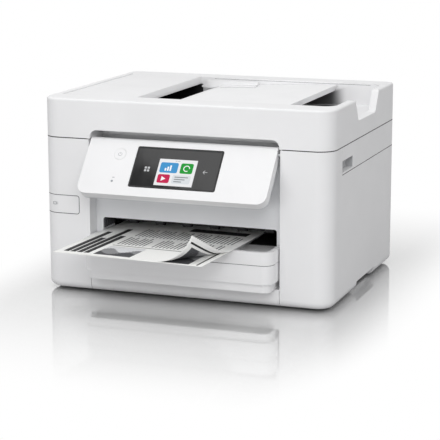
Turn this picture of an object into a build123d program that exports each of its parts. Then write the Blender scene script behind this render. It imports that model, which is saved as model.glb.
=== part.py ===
from build123d import *
import math
import os

# An inkjet all-in-one printer: casing, scanner unit, feeder lid, tilting panel, drawers and print works.
# Millimetres. +Z is up, -Y is the front. Depths are counted backwards from the casing's front face.

# Overall casing
BODY_W = 410.0
BODY_D = 320.0
BODY_H = 266.0
BASE_Z = 3.0
WALL = 2.5
FRONT_R = 24.0
REAR_R = 12.0
BASE_ROUND = 10.0
HALF_W = BODY_W / 2

# Clearances
SEAM = 0.6
SLIDE = 0.3
RUN = 0.05
SEAT = 0.02
JOIN = 0.4
PAST = 1.0

# Heights of the two parting lines, and the gap that shows under the lid
UNIT_Z = 175.5
LID_Z = 212.0
LID_GAP = 1.0
LID_LOW = LID_Z + LID_GAP

# What reaches past the casing sets where its front face stands, so that the origin is mid footprint
REAR_REACH = 15.0
SHEET_REACH = 134.0
FRONT = -(BODY_D + REAR_REACH - SHEET_REACH) / 2

# Printed pages, A4, lying a little askew, and the room they have in the drawers
SHEET_W = 210.0
SHEET_L = 297.0
SHEET_T = 0.4
SHEET_SKEW = 3.2
SHEET_SHIFT = -27.5
PAPER_ROOM = 16.5
DRAWER_HALF = SHEET_W / 2 + PAPER_ROOM

# Front bay between the two pillars, as wide as the drawers' lips
LIP_OUT = 12.0
BAY_ROOM = 2.0
LIP_HALF = DRAWER_HALF + LIP_OUT
BAY_HALF = LIP_HALF + BAY_ROOM
PILLAR_D = 48.4
BEZEL_D = 20.0
BEZEL_HALF = BAY_HALF - SLIDE
STRIP_Z = 26.5
STRIP_GAP = 0.7
STRIP_D = 13.0
EXIT_ROOM = 3.5
EXIT_HALF = DRAWER_HALF + EXIT_ROOM
EXIT_Z = 102.5
EXIT_R = 4.0
THROAT_D = 60.0
SHELF_GAP = 3.0
SHELF_Z = LID_Z - SHELF_GAP

# Casing lips, feet and grips
SIDE_LIP = 15.0
REAR_WRAP = 14.0
FOOT_R = 10.0
FOOT_ROUND = 1.0
FOOT_X = 165.0
FOOT_INSET = 38.0
GRIP_D = (127.0, 220.0)
GRIP_Z = 14.0
GRIP_DEEP = 12.0
SCREW_R = 1.5
SCREW_HEAD_R = 3.5
SCREW_HEAD = 1.8
SCREW_LENGTH = 8.0
SCREW_X = (-130.0, 0.0, 130.0)
SCREW_Z = (25.0, 165.0)

# Front USB door on the left pillar, which wraps the rounded corner
USB_EDGE = 15.5
USB_X = BAY_HALF + USB_EDGE
USB_D = 38.0
USB_Z = (108.0, 133.5)
USB_GAP = 0.7
USB_R = 3.5
USB_BARREL = 3.2
USB_STUB = 1.2
USB_STUB_LENGTH = 3.0
USB_BACK_D = 6.0
USB_PLATE_X = -HALF_W + 15.0
USB_PLATE_EDGE = 4.0
SOCKET_SIZE = (18.0, 12.5)
SOCKET_D = 24.0
SOCKET_SLOT = (12.5, 5.2)

# Rear hinges
HINGE_D = BODY_D + 5.0
HINGE_R = 4.6
HINGE_PIN = 2.0
HINGE_HALF = 5.6
EAR_T = 4.0
EAR_GAP = 0.4
UNIT_HINGE_X = 150.0
UNIT_HINGE_Z = UNIT_Z + 1.5
LID_HINGE_X = 110.0
LID_HINGE_Z = LID_LOW + 0.5
HINGE_WEB = 16.0

# Rear openings
COVER_HALF = 120.0
COVER_Z = (40.0, 150.0)
COVER_IN = 20.0
INLET_X = (-HALF_W + 18.0, -HALF_W + 46.0)
INLET_Z = (17.0, 41.0)
INLET_SLOT_R = 4.0
PORTS_Z = (62.0, 100.0)
PORTS_EDGE = (2.0, 3.0)
VENT_X = (-HALF_W + 20.0, -HALF_W + 70.0)
VENT_Z = (70.0, 130.0)
VENT_COUNT = 7
VENT_H = 3.5
COVER_R = 8.0

# Drawers
LIP_REACH = 30.0
LIP_R = 14.0
LIP_BACK = BEZEL_D - 2.0
CASSETTE_Z = 27.4
CASSETTE_TOP = 64.0
CASSETTE_STEP_Z = 39.0
CASSETTE_STEP = 4.0
CASSETTE_END = BODY_D - 30.0
CASSETTE_SIDE = 1.0
CASSETTE_SIDE_Z = 60.0
CASSETTE_REAR_Z = 42.0
TRAY_Z = CASSETTE_TOP + SEAM
TRAY_TOP = 82.0
TRAY_RIM = 7.0
TRAY_END = 200.0
TRAY_SIDE = 2.0
RAIL_T = 3.0
RAIL_GAP = 1.0
RAIL_LEDGE = 9.0
RAIL_TOP = 67.4
RAIL_END = BODY_D - 20.0
LEDGE_PAST = 10.0
RAIL_START = 24.0
PLATE_T = 2.4
RIB_T = 2.0
RIB_TOP = 84.0
RIB_X = (-85.0, -45.0, -5.0, 35.0, 70.0)

# Paper guides in the cassette
STOP_ROOM = 3.0
STOP_X = SHEET_W / 2 + STOP_ROOM
STOP_D = (60.0, 140.0)
STOP_FOOT = 18.0
STOP_TOP = 58.0
STOP_HALF = 25.0
STOP_BACK = 7.5

# Tilting panel: its hinge axis, its tilt from upright as photographed, and its face
PANEL_AXIS_D = 5.0
PANEL_AXIS_Z = 205.0
PANEL_TILT = 40.0
PANEL_GAP = 3.5
PANEL_HALF = BAY_HALF - PANEL_GAP
PANEL_TOP = 10.0
PANEL_BOTTOM = -78.8
PANEL_FACE = 8.0
PANEL_RIM = -4.0
PANEL_BACK = -7.0
PANEL_CORNER = 13.0
PANEL_ROLL = 6.5
PANEL_PIN_R = 2.5
GLASS_HALF = 60.5
GLASS_Y = (-65.2, -3.6)
GLASS_T = 1.6
GLASS_PROUD = 0.1
GLASS_R = 2.5
LCD_X = (-25.5, 27.5)
LCD_Y = (-60.1, -20.4)
LCD_T = 4.0
BUTTON_AT = (-83.8, -17.2)
BUTTON_R = 8.2
BUTTON_T = 6.0
LENS_AT = (-85.0, -58.5)
LENS_R = 1.6

# Scanner unit
UNIT_FRONT = PILLAR_D + SEAM
UNIT_LOW = UNIT_Z + SEAM
TOP_FRAME = 3.0
FRAME_LOW = LID_Z - TOP_FRAME
GRIP_UNIT = (50.0, 194.0)
GRIP_UNIT_DEEP = 10.0
WINDOW_X = (-137.0, 165.0)
STRIP_X = (-165.0, -153.0)
WINDOW_D = (62.0, BODY_D - 36.0)
GLASS_LAP = 5.0
GLASS_PLATE = 2.6
SENSOR_W = 26.0
SENSOR_X = -159.0
SENSOR_LOW = 186.0
ROD_R = 3.0
ROD_D = 175.0
ROD_LIFT = 4.0
ROD_Z = UNIT_LOW + WALL + ROD_LIFT
ROD_BELOW = 0.5
ROD_SEAT = 8.0

# Document cover with the feeder
LID_WALL = 3.0
LID_ROUND = 3.0
WELL_LEFT = -HALF_W + 11.6
WELL_RIGHT = HALF_W - 10.0
WELL_D = (42.0, BODY_D - 35.0)
WELL_R = 16.0
TUB_FLOOR = 224.0
WELL_SLOPE = (-40.0, 236.0)
NOTCH_TOP = (108.6, 229.0)
NOTCH_LOW = (124.6, 212.0)
NOTCH_Z = 236.6
NOTCH_R = 7.0
SOFFIT_EDGE = 1.5
SOFFIT_HALF = BAY_HALF - SOFFIT_EDGE
SOFFIT_D = 46.0
SOFFIT_Z = 225.0
SOFFIT_R = 10.0
PLATE_Z = 216.0
MAT_INSET = 3.0
MAT_CLEAR = 0.4
BOSS_R = 4.0
BOSS_INSET = 14.0

# Feeder pieces
ADF_EDGE = -82.0
ADF_LIP = (-80.5, 259.0)
ADF_T = 3.0
ADF_BARREL = 3.5
ADF_STUB = 1.5
ADF_END_GAP = 0.5
CHEEK_TOP = 10.0
CHEEK_LOW = 20.0
CHEEK_SLOPE = -2.0
CHEEK_RISE = -2.0
ADF_ROLLER_X = -72.0
ADF_ROLLER_Z = 236.0
ADF_SHAFT_R = 3.0
ADF_ROLLER_R = 9.0
ADF_ROLLER_W = 27.0
TRAY_PIVOT = (-60.0, 248.5)
TRAY_LEFT_Z = 250.5
TRAY_BREAK = (-42.0, 255.2)
TRAY_RIGHT = (129.0, 263.0)
TRAY_THICK = 4.0
TRAY_LIP = 9.0
TRAY_LIP_RUN = 21.0
TRAY_LIP_LEAN = 4.0
TRAY_END_GAP = 1.0
GUIDE_X = (-65.0, 14.0)
GUIDE_NOSE = (-74.0, 253.0)
GUIDE_NOSE_TOP = 255.5
GUIDE_BROW = 259.0
GUIDE_DIP = 1.7
GUIDE_TOP = 263.5
GUIDE_T = 3.5
GUIDE_FOOT = 14.0
GUIDE_EDGE = 3.5
GUIDE_REAR_EDGE = 13.5

# Print works
FRAME_X = HALF_W - 21.0
FRAME_T = 2.0
FRAME_D = (55.0, 235.0)
FRAME_TOP = 165.0
ROLLER_Z = 93.0
EJECT_D = 70.0
FEED_D = 135.0
SHAFT_R = 4.0
ROLLER_R = 7.0
RING_W = 12.0
RING_COUNT = 6
RING_PITCH = 40.0
GEAR_R = 16.0
GEAR_T = 6.0
GEAR_GAP = 1.0
GEAR_TEETH = 40
PINION_R = 6.0
PINION_TEETH = 15
MESH_GAP = 0.3
MOTOR_R = 13.0
MOTOR_LENGTH = 34.0
MOTOR_SHAFT_R = 1.5
RAIL_D = 160.0
RAIL_LOW = 105.0
RAIL_LIP = 10.0
RAIL_STEEL = 2.0
PULLEY_X = FRAME_X - 12.0
PULLEY_Z = 135.0
PULLEY_R = 5.7
BELT_R = 6.0
BELT_T = 1.2
BELT_W = 5.0
BELT_D = 155.0
BELT_MOTOR_R = 14.0
BELT_MOTOR_LENGTH = 28.0
BELT_MOTOR_SHIFT = 3.0
STATION_X = FRAME_X - 85.8
PLATEN_D = (82.0, 124.0)
PLATEN_Z = (93.0, 99.0)
PLATEN_RIB = 1.0
STATION_INSET = 4.0
STATION_BACK = 2.0
STATION_DEEP = 8.0
CAP_INSET = 2.0
CAP_EDGE = 8.0
CAP_DEEP = 4.0
TONGUE_INSET = 20.0
RAIL_CLEAR = 1.0
CARRIAGE_X = (FRAME_X - 82.0, FRAME_X - 6.0)
CARRIAGE_D = (84.0, 149.5)
CARRIAGE_Z = (103.0, 150.0)
CARTRIDGE_TOP = 158.0
CARTRIDGE_GAP = 0.5
CARTRIDGE_COUNT = 4
PICK_BAR = (222.0, 80.0)
PICK_AXLE = (252.0, 56.0)
PICK_BAR_R = 4.0
PICK_ROLLER_R = 12.0
PICK_AXLE_R = 2.0
PICK_HALF = 13.5
LEVER_W = 10.0
LEVER_T = 3.0
POST_LENGTH = 4.0
BOARD_X = FRAME_X + FRAME_T + POST_LENGTH
BOARD_POST_D = (130.0, 220.0)
BOARD_POST_Z = (75.0, 145.0)
BOARD_T = 1.6
BOARD_D = (110.0, BODY_D - 20.0)
BOARD_Z = (60.0, 160.0)
PORT_W = 14.0
PORT_SINK = 1.0
PORT_DEEP = 8.0
PORT_BANDS = ((64.0, 79.0), (84.0, 98.0))
SUPPLY_GAP = 4.5
SUPPLY_X = (-FRAME_X - FRAME_T, -DRAWER_HALF - RAIL_GAP - RAIL_T - SUPPLY_GAP)
SUPPLY_D = (BODY_D - 75.0, BODY_D - 18.0)
SUPPLY_TOP = 58.0
INLET_PIN_R = 1.1
INLET_DEEP = 12.0
INLET_PIN_SINK = 2.0

os.makedirs("parts", exist_ok=True)


def finish(part, name):
    """Label a finished piece and write it."""
    part.label = name
    export_step(part, f"parts/{name}.step")


def slab(x, y, z, mode=Mode.ADD):
    """A box between limits on each axis of the current workplane."""
    with Locations(((x[0] + x[1]) / 2, (y[0] + y[1]) / 2, (z[0] + z[1]) / 2)):
        Box(x[1] - x[0], y[1] - y[0], z[1] - z[0], mode=mode)


def block(x, depth, z, mode=Mode.ADD):
    """A box whose second limits are depths behind the casing's front."""
    slab(x, (FRONT + depth[0], FRONT + depth[1]), z, mode)


def brick(x, depth, z):
    """The same box as a loose solid, for regions that are cut out of a larger form."""
    centre = ((x[0] + x[1]) / 2, FRONT + (depth[0] + depth[1]) / 2, (z[0] + z[1]) / 2)
    return Pos(*centre) * Box(x[1] - x[0], depth[1] - depth[0], z[1] - z[0])


def span(side, near, far):
    """Limits on X at one side of the machine, side being -1 for left and 1 for right."""
    return tuple(sorted((side * near, side * far)))


def rod_x(x, depth, z, radius, mode=Mode.ADD):
    """A cylinder along X."""
    with Locations(((x[0] + x[1]) / 2, FRONT + depth, z)):
        Cylinder(radius, x[1] - x[0], rotation=(0, 90, 0), mode=mode)


def rod_y(x, depth, z, radius, mode=Mode.ADD):
    """A cylinder along Y."""
    with Locations((x, FRONT + (depth[0] + depth[1]) / 2, z)):
        Cylinder(radius, depth[1] - depth[0], rotation=(90, 0, 0), mode=mode)


def rod_z(x, depth, z, radius, mode=Mode.ADD):
    """A cylinder along Z."""
    with Locations((x, FRONT + depth, (z[0] + z[1]) / 2)):
        Cylinder(radius, z[1] - z[0], mode=mode)


def upright(depth):
    """A plane facing the front at a depth, with X to the right and Z up."""
    return Plane.XZ.offset(-(FRONT + depth))


def prism_y(points, depth, mode=Mode.ADD):
    """An outline of X and Z points, drawn out between two depths."""
    with BuildSketch(upright(depth[1])) as outline:
        with BuildLine():
            Polyline(*points, close=True)
        make_face()
    extrude(outline.sketch, amount=depth[1] - depth[0], mode=mode)


def casing(inset, low, high, base_round=0.0, top_round=0.0):
    """A block of the printer's plan, drawn in by inset, between two heights."""
    with BuildPart() as form:
        with BuildSketch(Plane.XY.offset(low)) as plan:
            with Locations((0, FRONT + BODY_D / 2)):
                Rectangle(BODY_W - 2 * inset, BODY_D - 2 * inset)
            fillet(plan.vertices().group_by(Axis.Y)[0], FRONT_R - inset)
            fillet(plan.vertices().group_by(Axis.Y)[-1], REAR_R - inset)
        extrude(amount=high - low)
        if base_round:
            fillet(form.faces().sort_by(Axis.Z)[0].edges(), base_round)
        if top_round:
            fillet(form.faces().sort_by(Axis.Z)[-1].edges(), top_round)
    return form.part


# Loose forms shared by the casing pieces
ALL_X = (-HALF_W - PAST, HALF_W + PAST)
ALL_D = (-PAST, BODY_D + PAST)
REAR_D = BODY_D - REAR_WRAP
SHELL = casing(0, BASE_Z, LID_Z, base_round=BASE_ROUND)
HOLLOW = casing(WALL, BASE_Z + WALL, LID_Z - WALL, base_round=BASE_ROUND - WALL)
USB_BARREL_D = USB_D - USB_GAP - USB_BARREL
USB_BARREL_X = -HALF_W + USB_BARREL


# Bottom tray with the rails that both drawers run on
RAIL_X = DRAWER_HALF + RAIL_GAP
PAN_HALF = HALF_W - SIDE_LIP - JOIN
with BuildPart() as base_pan:
    block((-PAN_HALF, PAN_HALF), (STRIP_D + JOIN, REAR_D - SEAM), (BASE_Z, BASE_Z + WALL))
    for side in (-1, 1):
        block(span(side, RAIL_X, RAIL_X + RAIL_T), (RAIL_START, RAIL_END), (BASE_Z, RAIL_TOP))
        block(span(side, RAIL_X - RAIL_LEDGE, RAIL_X), (RAIL_START, RAIL_END),
              (CASSETTE_Z - JOIN - RAIL_T, CASSETTE_Z - JOIN))
        block(span(side, RAIL_X - RAIL_LEDGE / 2, RAIL_X), (RAIL_START, TRAY_END + LEDGE_PAST),
              (RAIL_TOP - WALL, RAIL_TOP))
finish(base_pan.part, "base_pan")


def side_region(side):
    """Where one side cover lies: its front pillar and the wall behind it."""
    pillar = brick(span(side, BAY_HALF, HALF_W + PAST), (-PAST, PILLAR_D), (0, LID_Z))
    wall = brick(span(side, HALF_W - SIDE_LIP, HALF_W + PAST), (PILLAR_D - PAST, REAR_D - SEAM), (0, UNIT_Z))
    return pillar + wall


def cover_shell(side):
    """One side cover, with its carrying grip, before the USB opening is cut."""
    inside = brick(span(side, BAY_HALF + WALL, HALF_W), ALL_D, (0, LID_Z))
    grip = brick(span(side, HALF_W - GRIP_DEEP - WALL, HALF_W), (GRIP_D[0] - WALL, GRIP_D[1] + WALL),
                 (0, GRIP_Z + WALL))
    hollow = (HOLLOW & inside) - grip
    region = side_region(side)
    with BuildPart() as cover:
        add(SHELL)
        add(region, mode=Mode.INTERSECT)
        add(hollow, mode=Mode.SUBTRACT)
        block(span(side, BAY_HALF - PAST, HALF_W - SIDE_LIP), (STRIP_D, PILLAR_D + PAST), (0, BASE_Z + WALL),
              Mode.SUBTRACT)
        block(span(side, HALF_W - GRIP_DEEP, HALF_W + PAST), GRIP_D, (0, GRIP_Z), Mode.SUBTRACT)
        rod_x(span(side, BAY_HALF - PAST, BAY_HALF + WALL + PAST), PANEL_AXIS_D, PANEL_AXIS_Z,
              PANEL_PIN_R + SEAT, Mode.SUBTRACT)
    return cover.part


LEFT_SHELL = cover_shell(-1)
RIGHT_SHELL = cover_shell(1)

# Left casing, with the opening for the USB door and the two bosses that its stubs turn in
BOSS_X = (-HALF_W + WALL / 2, -HALF_W + 2 * USB_BARREL + PAST)
BOSS_D = (USB_BARREL_D - USB_BARREL, USB_BARREL_D + USB_BARREL)
USB_CUT = brick((-HALF_W - PAST, -USB_X), (-PAST, USB_D), USB_Z)
USB_CUT = fillet(USB_CUT.edges().filter_by(Axis.Y).group_by(Axis.X)[-1], USB_R)
with BuildPart() as left_side_cover:
    add(LEFT_SHELL)
    add(USB_CUT, mode=Mode.SUBTRACT)
    for low, high in ((USB_Z[0] - 2 * WALL, USB_Z[0]), (USB_Z[1], USB_Z[1] + 2 * WALL)):
        block(BOSS_X, BOSS_D, (low, high))
    rod_z(USB_BARREL_X, USB_BARREL_D, (USB_Z[0] - USB_STUB_LENGTH, USB_Z[1] + USB_STUB_LENGTH),
          USB_STUB + RUN, Mode.SUBTRACT)
finish(left_side_cover.part, "left_side_cover")
finish(RIGHT_SHELL, "right_side_cover")

# Front USB door: a piece of the corner wall on a round edge with two stubs
DOOR_Z = (USB_Z[0] + USB_GAP, USB_Z[1] - USB_GAP)
STUB_Z = (USB_Z[0] + SLIDE - USB_STUB_LENGTH, USB_Z[1] - SLIDE + USB_STUB_LENGTH)
DOOR_ZONE = brick((-HALF_W - PAST, -USB_X - USB_GAP), (-PAST, USB_BARREL_D), DOOR_Z)
DOOR_ZONE = fillet(DOOR_ZONE.edges().filter_by(Axis.Y).group_by(Axis.X)[-1], USB_R - USB_GAP)
with BuildPart() as usb_cover:
    add(SHELL)
    add(HOLLOW, mode=Mode.SUBTRACT)
    add(DOOR_ZONE, mode=Mode.INTERSECT)
    rod_z(USB_BARREL_X, USB_BARREL_D, DOOR_Z, USB_BARREL)
    rod_z(USB_BARREL_X, USB_BARREL_D, STUB_Z, USB_STUB)
finish(usb_cover.part, "usb_cover")

# Front USB socket on its small plate
SOCKET_MID = ((USB_PLATE_X - USB_X) / 2, (USB_Z[0] + USB_Z[1]) / 2)
with BuildPart() as front_usb_port:
    block((USB_PLATE_X, -BAY_HALF - WALL), (USB_BACK_D, USB_BACK_D + WALL),
          (USB_Z[0] - USB_PLATE_EDGE, USB_Z[1] + USB_PLATE_EDGE))
    with BuildSketch(upright(USB_BACK_D + WALL)):
        with Locations(SOCKET_MID):
            Rectangle(*SOCKET_SIZE)
    extrude(amount=-(SOCKET_D - USB_BACK_D - WALL))
    with BuildSketch(upright(USB_BACK_D - PAST)):
        with Locations(SOCKET_MID):
            Rectangle(*SOCKET_SLOT)
    extrude(amount=-(SOCKET_D - USB_BACK_D - PAST), mode=Mode.SUBTRACT)
finish(front_usb_port.part, "front_usb_port")

# Recessed front wall of the bay, with the paper exit and its throat
THROAT_LOW = RAIL_TOP + SEAM
with BuildPart() as front_bezel:
    block((-BEZEL_HALF, BEZEL_HALF), (BEZEL_D, BEZEL_D + WALL), (STRIP_Z, SHELF_Z))
    block((-BEZEL_HALF, BEZEL_HALF), (BEZEL_D, PILLAR_D), (SHELF_Z - WALL, SHELF_Z))
    with BuildSketch(upright(BEZEL_D - PAST)) as paper_exit:
        with Locations((0, (STRIP_Z - PAST + EXIT_Z) / 2)):
            Rectangle(2 * EXIT_HALF, EXIT_Z - STRIP_Z + PAST)
        fillet(paper_exit.vertices().group_by(Axis.Y)[-1], EXIT_R)
    extrude(amount=-(WALL + 2 * PAST), mode=Mode.SUBTRACT)
    for side in (-1, 1):
        block(span(side, EXIT_HALF, EXIT_HALF + WALL), (BEZEL_D + WALL, THROAT_D),
              (THROAT_LOW, EXIT_Z + WALL))
    block((-EXIT_HALF, EXIT_HALF), (BEZEL_D + WALL, THROAT_D), (EXIT_Z, EXIT_Z + WALL))
finish(front_bezel.part, "front_bezel")

# Strip under the cassette, flush with the front
STRIP_HALF = BAY_HALF - STRIP_GAP
STRIP_ZONE = brick((-STRIP_HALF, STRIP_HALF), (-PAST, STRIP_D), (0, STRIP_Z))
with BuildPart() as lower_front_strip:
    add(SHELL)
    add(HOLLOW, mode=Mode.SUBTRACT)
    add(STRIP_ZONE, mode=Mode.INTERSECT)
    block((-BEZEL_HALF, BEZEL_HALF), (WALL / 2, BEZEL_D + WALL), (STRIP_Z - WALL, STRIP_Z))
finish(lower_front_strip.part, "lower_front_strip")


def ears(part_x, axis_z, low, high):
    """A pair of round ears with a web each side of a knuckle, on the rear face."""
    for inner in (part_x - HINGE_HALF - EAR_GAP - EAR_T, part_x + HINGE_HALF + EAR_GAP):
        ear = (inner, inner + EAR_T)
        rod_x(ear, HINGE_D, axis_z, HINGE_R)
        block(ear, (BODY_D, HINGE_D + HINGE_R), (low, high))
    reach = HINGE_HALF + EAR_GAP + EAR_T + 1
    rod_x((part_x - reach, part_x + reach), HINGE_D, axis_z, HINGE_PIN + RUN, Mode.SUBTRACT)


def knuckle(part_x, axis_z):
    """A round knuckle with a web up the rear face and a stub at each end."""
    rod_x((part_x - HINGE_HALF, part_x + HINGE_HALF), HINGE_D, axis_z, HINGE_R)
    block((part_x - HINGE_HALF, part_x + HINGE_HALF), (BODY_D, HINGE_D + HINGE_PIN),
          (axis_z, axis_z + HINGE_WEB))
    reach = HINGE_HALF + EAR_GAP + EAR_T - SLIDE
    rod_x((part_x - reach, part_x + reach), HINGE_D, axis_z, HINGE_PIN)


# Rear casing wall with its openings and the scanner unit's hinge ears
PORTS_X = (BOARD_X - PORT_W - PORTS_EDGE[0], BOARD_X + PORTS_EDGE[1])
with BuildPart() as rear_panel:
    add(SHELL)
    add(HOLLOW, mode=Mode.SUBTRACT)
    add(brick(ALL_X, (REAR_D, BODY_D + PAST), (0, UNIT_Z)), mode=Mode.INTERSECT)
    block((-COVER_HALF, COVER_HALF), (REAR_D, BODY_D + PAST), COVER_Z, Mode.SUBTRACT)
    block((INLET_X[0] - JOIN, INLET_X[1] + JOIN), (REAR_D, BODY_D + PAST),
          (INLET_Z[0] - JOIN, INLET_Z[1] + JOIN), Mode.SUBTRACT)
    block(PORTS_X, (REAR_D, BODY_D + PAST), PORTS_Z, Mode.SUBTRACT)
    for i in range(VENT_COUNT):
        low = VENT_Z[0] + i * (VENT_Z[1] - VENT_Z[0]) / VENT_COUNT
        block(VENT_X, (REAR_D, BODY_D + PAST), (low, low + VENT_H), Mode.SUBTRACT)
    for x in SCREW_X:
        for z in SCREW_Z:
            rod_y(x, (BODY_D - 2 * WALL, BODY_D + PAST), z, SCREW_R + RUN, Mode.SUBTRACT)
    for side in (-1, 1):
        ears(side * UNIT_HINGE_X, UNIT_HINGE_Z, UNIT_Z - HINGE_WEB, UNIT_HINGE_Z)
finish(rear_panel.part, "rear_panel")

with BuildPart() as case_screws:
    for x in SCREW_X:
        for z in SCREW_Z:
            rod_y(x, (BODY_D, BODY_D + SCREW_HEAD), z, SCREW_HEAD_R)
            rod_y(x, (BODY_D - SCREW_LENGTH, BODY_D), z, SCREW_R)
finish(case_screws.part, "case_screws")

# Removable cover of the rear paper path
COVER_X = (-COVER_HALF + SEAM, COVER_HALF - SEAM)
COVER_H = (COVER_Z[0] + SEAM, COVER_Z[1] - SEAM)
with BuildPart() as rear_cover:
    block(COVER_X, (BODY_D - COVER_IN, BODY_D + REAR_REACH), COVER_H)
    fillet(rear_cover.faces().sort_by(Axis.Y)[-1].edges(), COVER_R)
    block((COVER_X[0] + WALL, COVER_X[1] - WALL), (BODY_D - COVER_IN - PAST, BODY_D + REAR_REACH - WALL),
          (COVER_H[0] + WALL, COVER_H[1] - WALL), Mode.SUBTRACT)
finish(rear_cover.part, "rear_cover")

with BuildPart() as rubber_feet:
    for x in (-FOOT_X, FOOT_X):
        for depth in (FOOT_INSET, BODY_D - FOOT_INSET):
            rod_z(x, depth, (0, BASE_Z), FOOT_R)
    fillet(rubber_feet.faces().group_by(Axis.Z)[0].edges(), FOOT_ROUND)
finish(rubber_feet.part, "rubber_feet")


# The tilting panel is drawn on its own plane: X across, Y up its face, Z out of its face
TILT = math.radians(PANEL_TILT)
PANEL_AXIS = (0, FRONT + PANEL_AXIS_D, PANEL_AXIS_Z)
PANEL = Plane(origin=PANEL_AXIS, x_dir=(1, 0, 0), z_dir=(0, -math.cos(TILT), math.sin(TILT)))


def panel_form(inset, low, high):
    """A slab of the panel's outline, drawn in by inset, not yet set on the panel's plane."""
    with BuildPart() as form:
        with BuildSketch(Plane.XY.offset(low)) as outline:
            with Locations((0, (PANEL_TOP + PANEL_BOTTOM) / 2)):
                Rectangle(2 * (PANEL_HALF - inset), PANEL_TOP - PANEL_BOTTOM - 2 * inset)
            fillet(outline.vertices().group_by(Axis.Y)[0], PANEL_CORNER - inset)
        extrude(amount=high - low)
    return form.part


def glass_form(grow, low, high):
    """A rounded slab of the glass's outline, let out by grow, not yet set on the panel's plane."""
    with BuildPart() as form:
        with BuildSketch(Plane.XY.offset(low)):
            with Locations((0, (GLASS_Y[0] + GLASS_Y[1]) / 2)):
                RectangleRounded(2 * (GLASS_HALF + grow), GLASS_Y[1] - GLASS_Y[0] + 2 * grow, GLASS_R + grow)
        extrude(amount=high - low)
    return form.part


PANEL_SOLID = panel_form(0, PANEL_RIM, PANEL_FACE)
PANEL_HOLLOW = panel_form(WALL, PANEL_RIM, PANEL_FACE - WALL)
PANEL_LINING = panel_form(SEAM, PANEL_BACK, PANEL_RIM)
GLASS_SEAT = PANEL_FACE + GLASS_PROUD - GLASS_T
LCD_HOLE_X = (LCD_X[0] - SLIDE, LCD_X[1] + SLIDE)
LCD_HOLE_Y = (LCD_Y[0] - SLIDE, LCD_Y[1] + SLIDE)

# Panel front: a shell with a rolled top edge and openings for what shows in its face
with BuildPart(PANEL) as panel_face:
    add(PANEL_SOLID)
    fillet(panel_face.faces().sort_by(Axis(PANEL_AXIS, PANEL.z_dir))[-1].edges().sort_by(
        Axis(PANEL_AXIS, PANEL.y_dir))[-1], PANEL_ROLL)
    add(PANEL_HOLLOW, mode=Mode.SUBTRACT)
    add(glass_form(SLIDE, GLASS_SEAT, PANEL_FACE + PAST), mode=Mode.SUBTRACT)
    slab(LCD_HOLE_X, LCD_HOLE_Y, (0, PANEL_FACE), Mode.SUBTRACT)
    with Locations((*BUTTON_AT, PANEL_FACE)):
        Cylinder(BUTTON_R + SLIDE, 4 * WALL, mode=Mode.SUBTRACT)
    with Locations((*LENS_AT, PANEL_FACE)):
        Cylinder(LENS_R + SEAT, 4 * WALL, mode=Mode.SUBTRACT)
    with Locations((0, 0, 0)):
        Cylinder(PANEL_PIN_R + RUN, 2 * (PANEL_HALF + PAST), rotation=(0, 90, 0), mode=Mode.SUBTRACT)
finish(panel_face.part, "panel_face")

with BuildPart(PANEL) as panel_back:
    add(PANEL_LINING)
finish(panel_back.part, "panel_back")

with BuildPart(PANEL) as panel_glass:
    add(glass_form(0, GLASS_SEAT, GLASS_SEAT + GLASS_T))
    slab(LCD_HOLE_X, LCD_HOLE_Y, (0, 2 * PANEL_FACE), Mode.SUBTRACT)
finish(panel_glass.part, "panel_glass")

with BuildPart(PANEL) as lcd_screen:
    slab(LCD_X, LCD_Y, (PANEL_FACE - LCD_T, PANEL_FACE))
finish(lcd_screen.part, "lcd_screen")

with BuildPart(PANEL) as power_button:
    with Locations((*BUTTON_AT, PANEL_FACE + GLASS_PROUD - BUTTON_T / 2)):
        Cylinder(BUTTON_R, BUTTON_T)
finish(power_button.part, "power_button")

with BuildPart(PANEL) as status_lens:
    with Locations((*LENS_AT, PANEL_FACE + GLASS_PROUD - LCD_T / 2)):
        Cylinder(LENS_R, LCD_T)
finish(status_lens.part, "status_lens")

with BuildPart(PANEL) as panel_hinge_pins:
    for side in (-1, 1):
        pin = span(side, PANEL_HALF - 2 * WALL, BAY_HALF + WALL)
        with Locations(((pin[0] + pin[1]) / 2, 0, 0)):
            Cylinder(PANEL_PIN_R, pin[1] - pin[0], rotation=(0, 90, 0))
finish(panel_hinge_pins.part, "panel_hinge_pins")


def drawer_lip(inset, low, high, back=LIP_BACK):
    """A block of the drawers' front outline, rounded at its two front corners."""
    with BuildPart() as form:
        with BuildSketch(Plane.XY.offset(low)) as plan:
            with Locations((0, FRONT + (back - LIP_REACH + inset) / 2)):
                Rectangle(2 * (LIP_HALF - inset), back + LIP_REACH - inset)
            fillet(plan.vertices().group_by(Axis.Y)[0], LIP_R - inset)
        extrude(amount=high - low)
    return form.part


# Output tray: a rimmed lip in front and a ribbed plate that runs in on the rails
TRAY_FLOOR = RAIL_TOP + SLIDE + PLATE_T
TRAY_HALF = DRAWER_HALF - TRAY_SIDE
TRAY_SOLID = drawer_lip(0, TRAY_Z, TRAY_TOP)
TRAY_POCKET = drawer_lip(TRAY_RIM, TRAY_FLOOR, TRAY_TOP + PAST, LIP_BACK + PAST)
TRAY_UNDER = drawer_lip(WALL, TRAY_Z - PAST, TRAY_FLOOR - PLATE_T, LIP_BACK - WALL)
with BuildPart() as output_tray:
    add(TRAY_SOLID)
    add(TRAY_POCKET, mode=Mode.SUBTRACT)
    add(TRAY_UNDER, mode=Mode.SUBTRACT)
    block((-TRAY_HALF, TRAY_HALF), (LIP_BACK - PAST, TRAY_END), (TRAY_FLOOR - PLATE_T, TRAY_FLOOR))
    for x in RIB_X:
        block((x - RIB_T / 2, x + RIB_T / 2), (TRAY_RIM - LIP_REACH + PAST, TRAY_END - WALL),
              (TRAY_FLOOR, RIB_TOP - SLIDE))
finish(output_tray.part, "output_tray")

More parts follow.
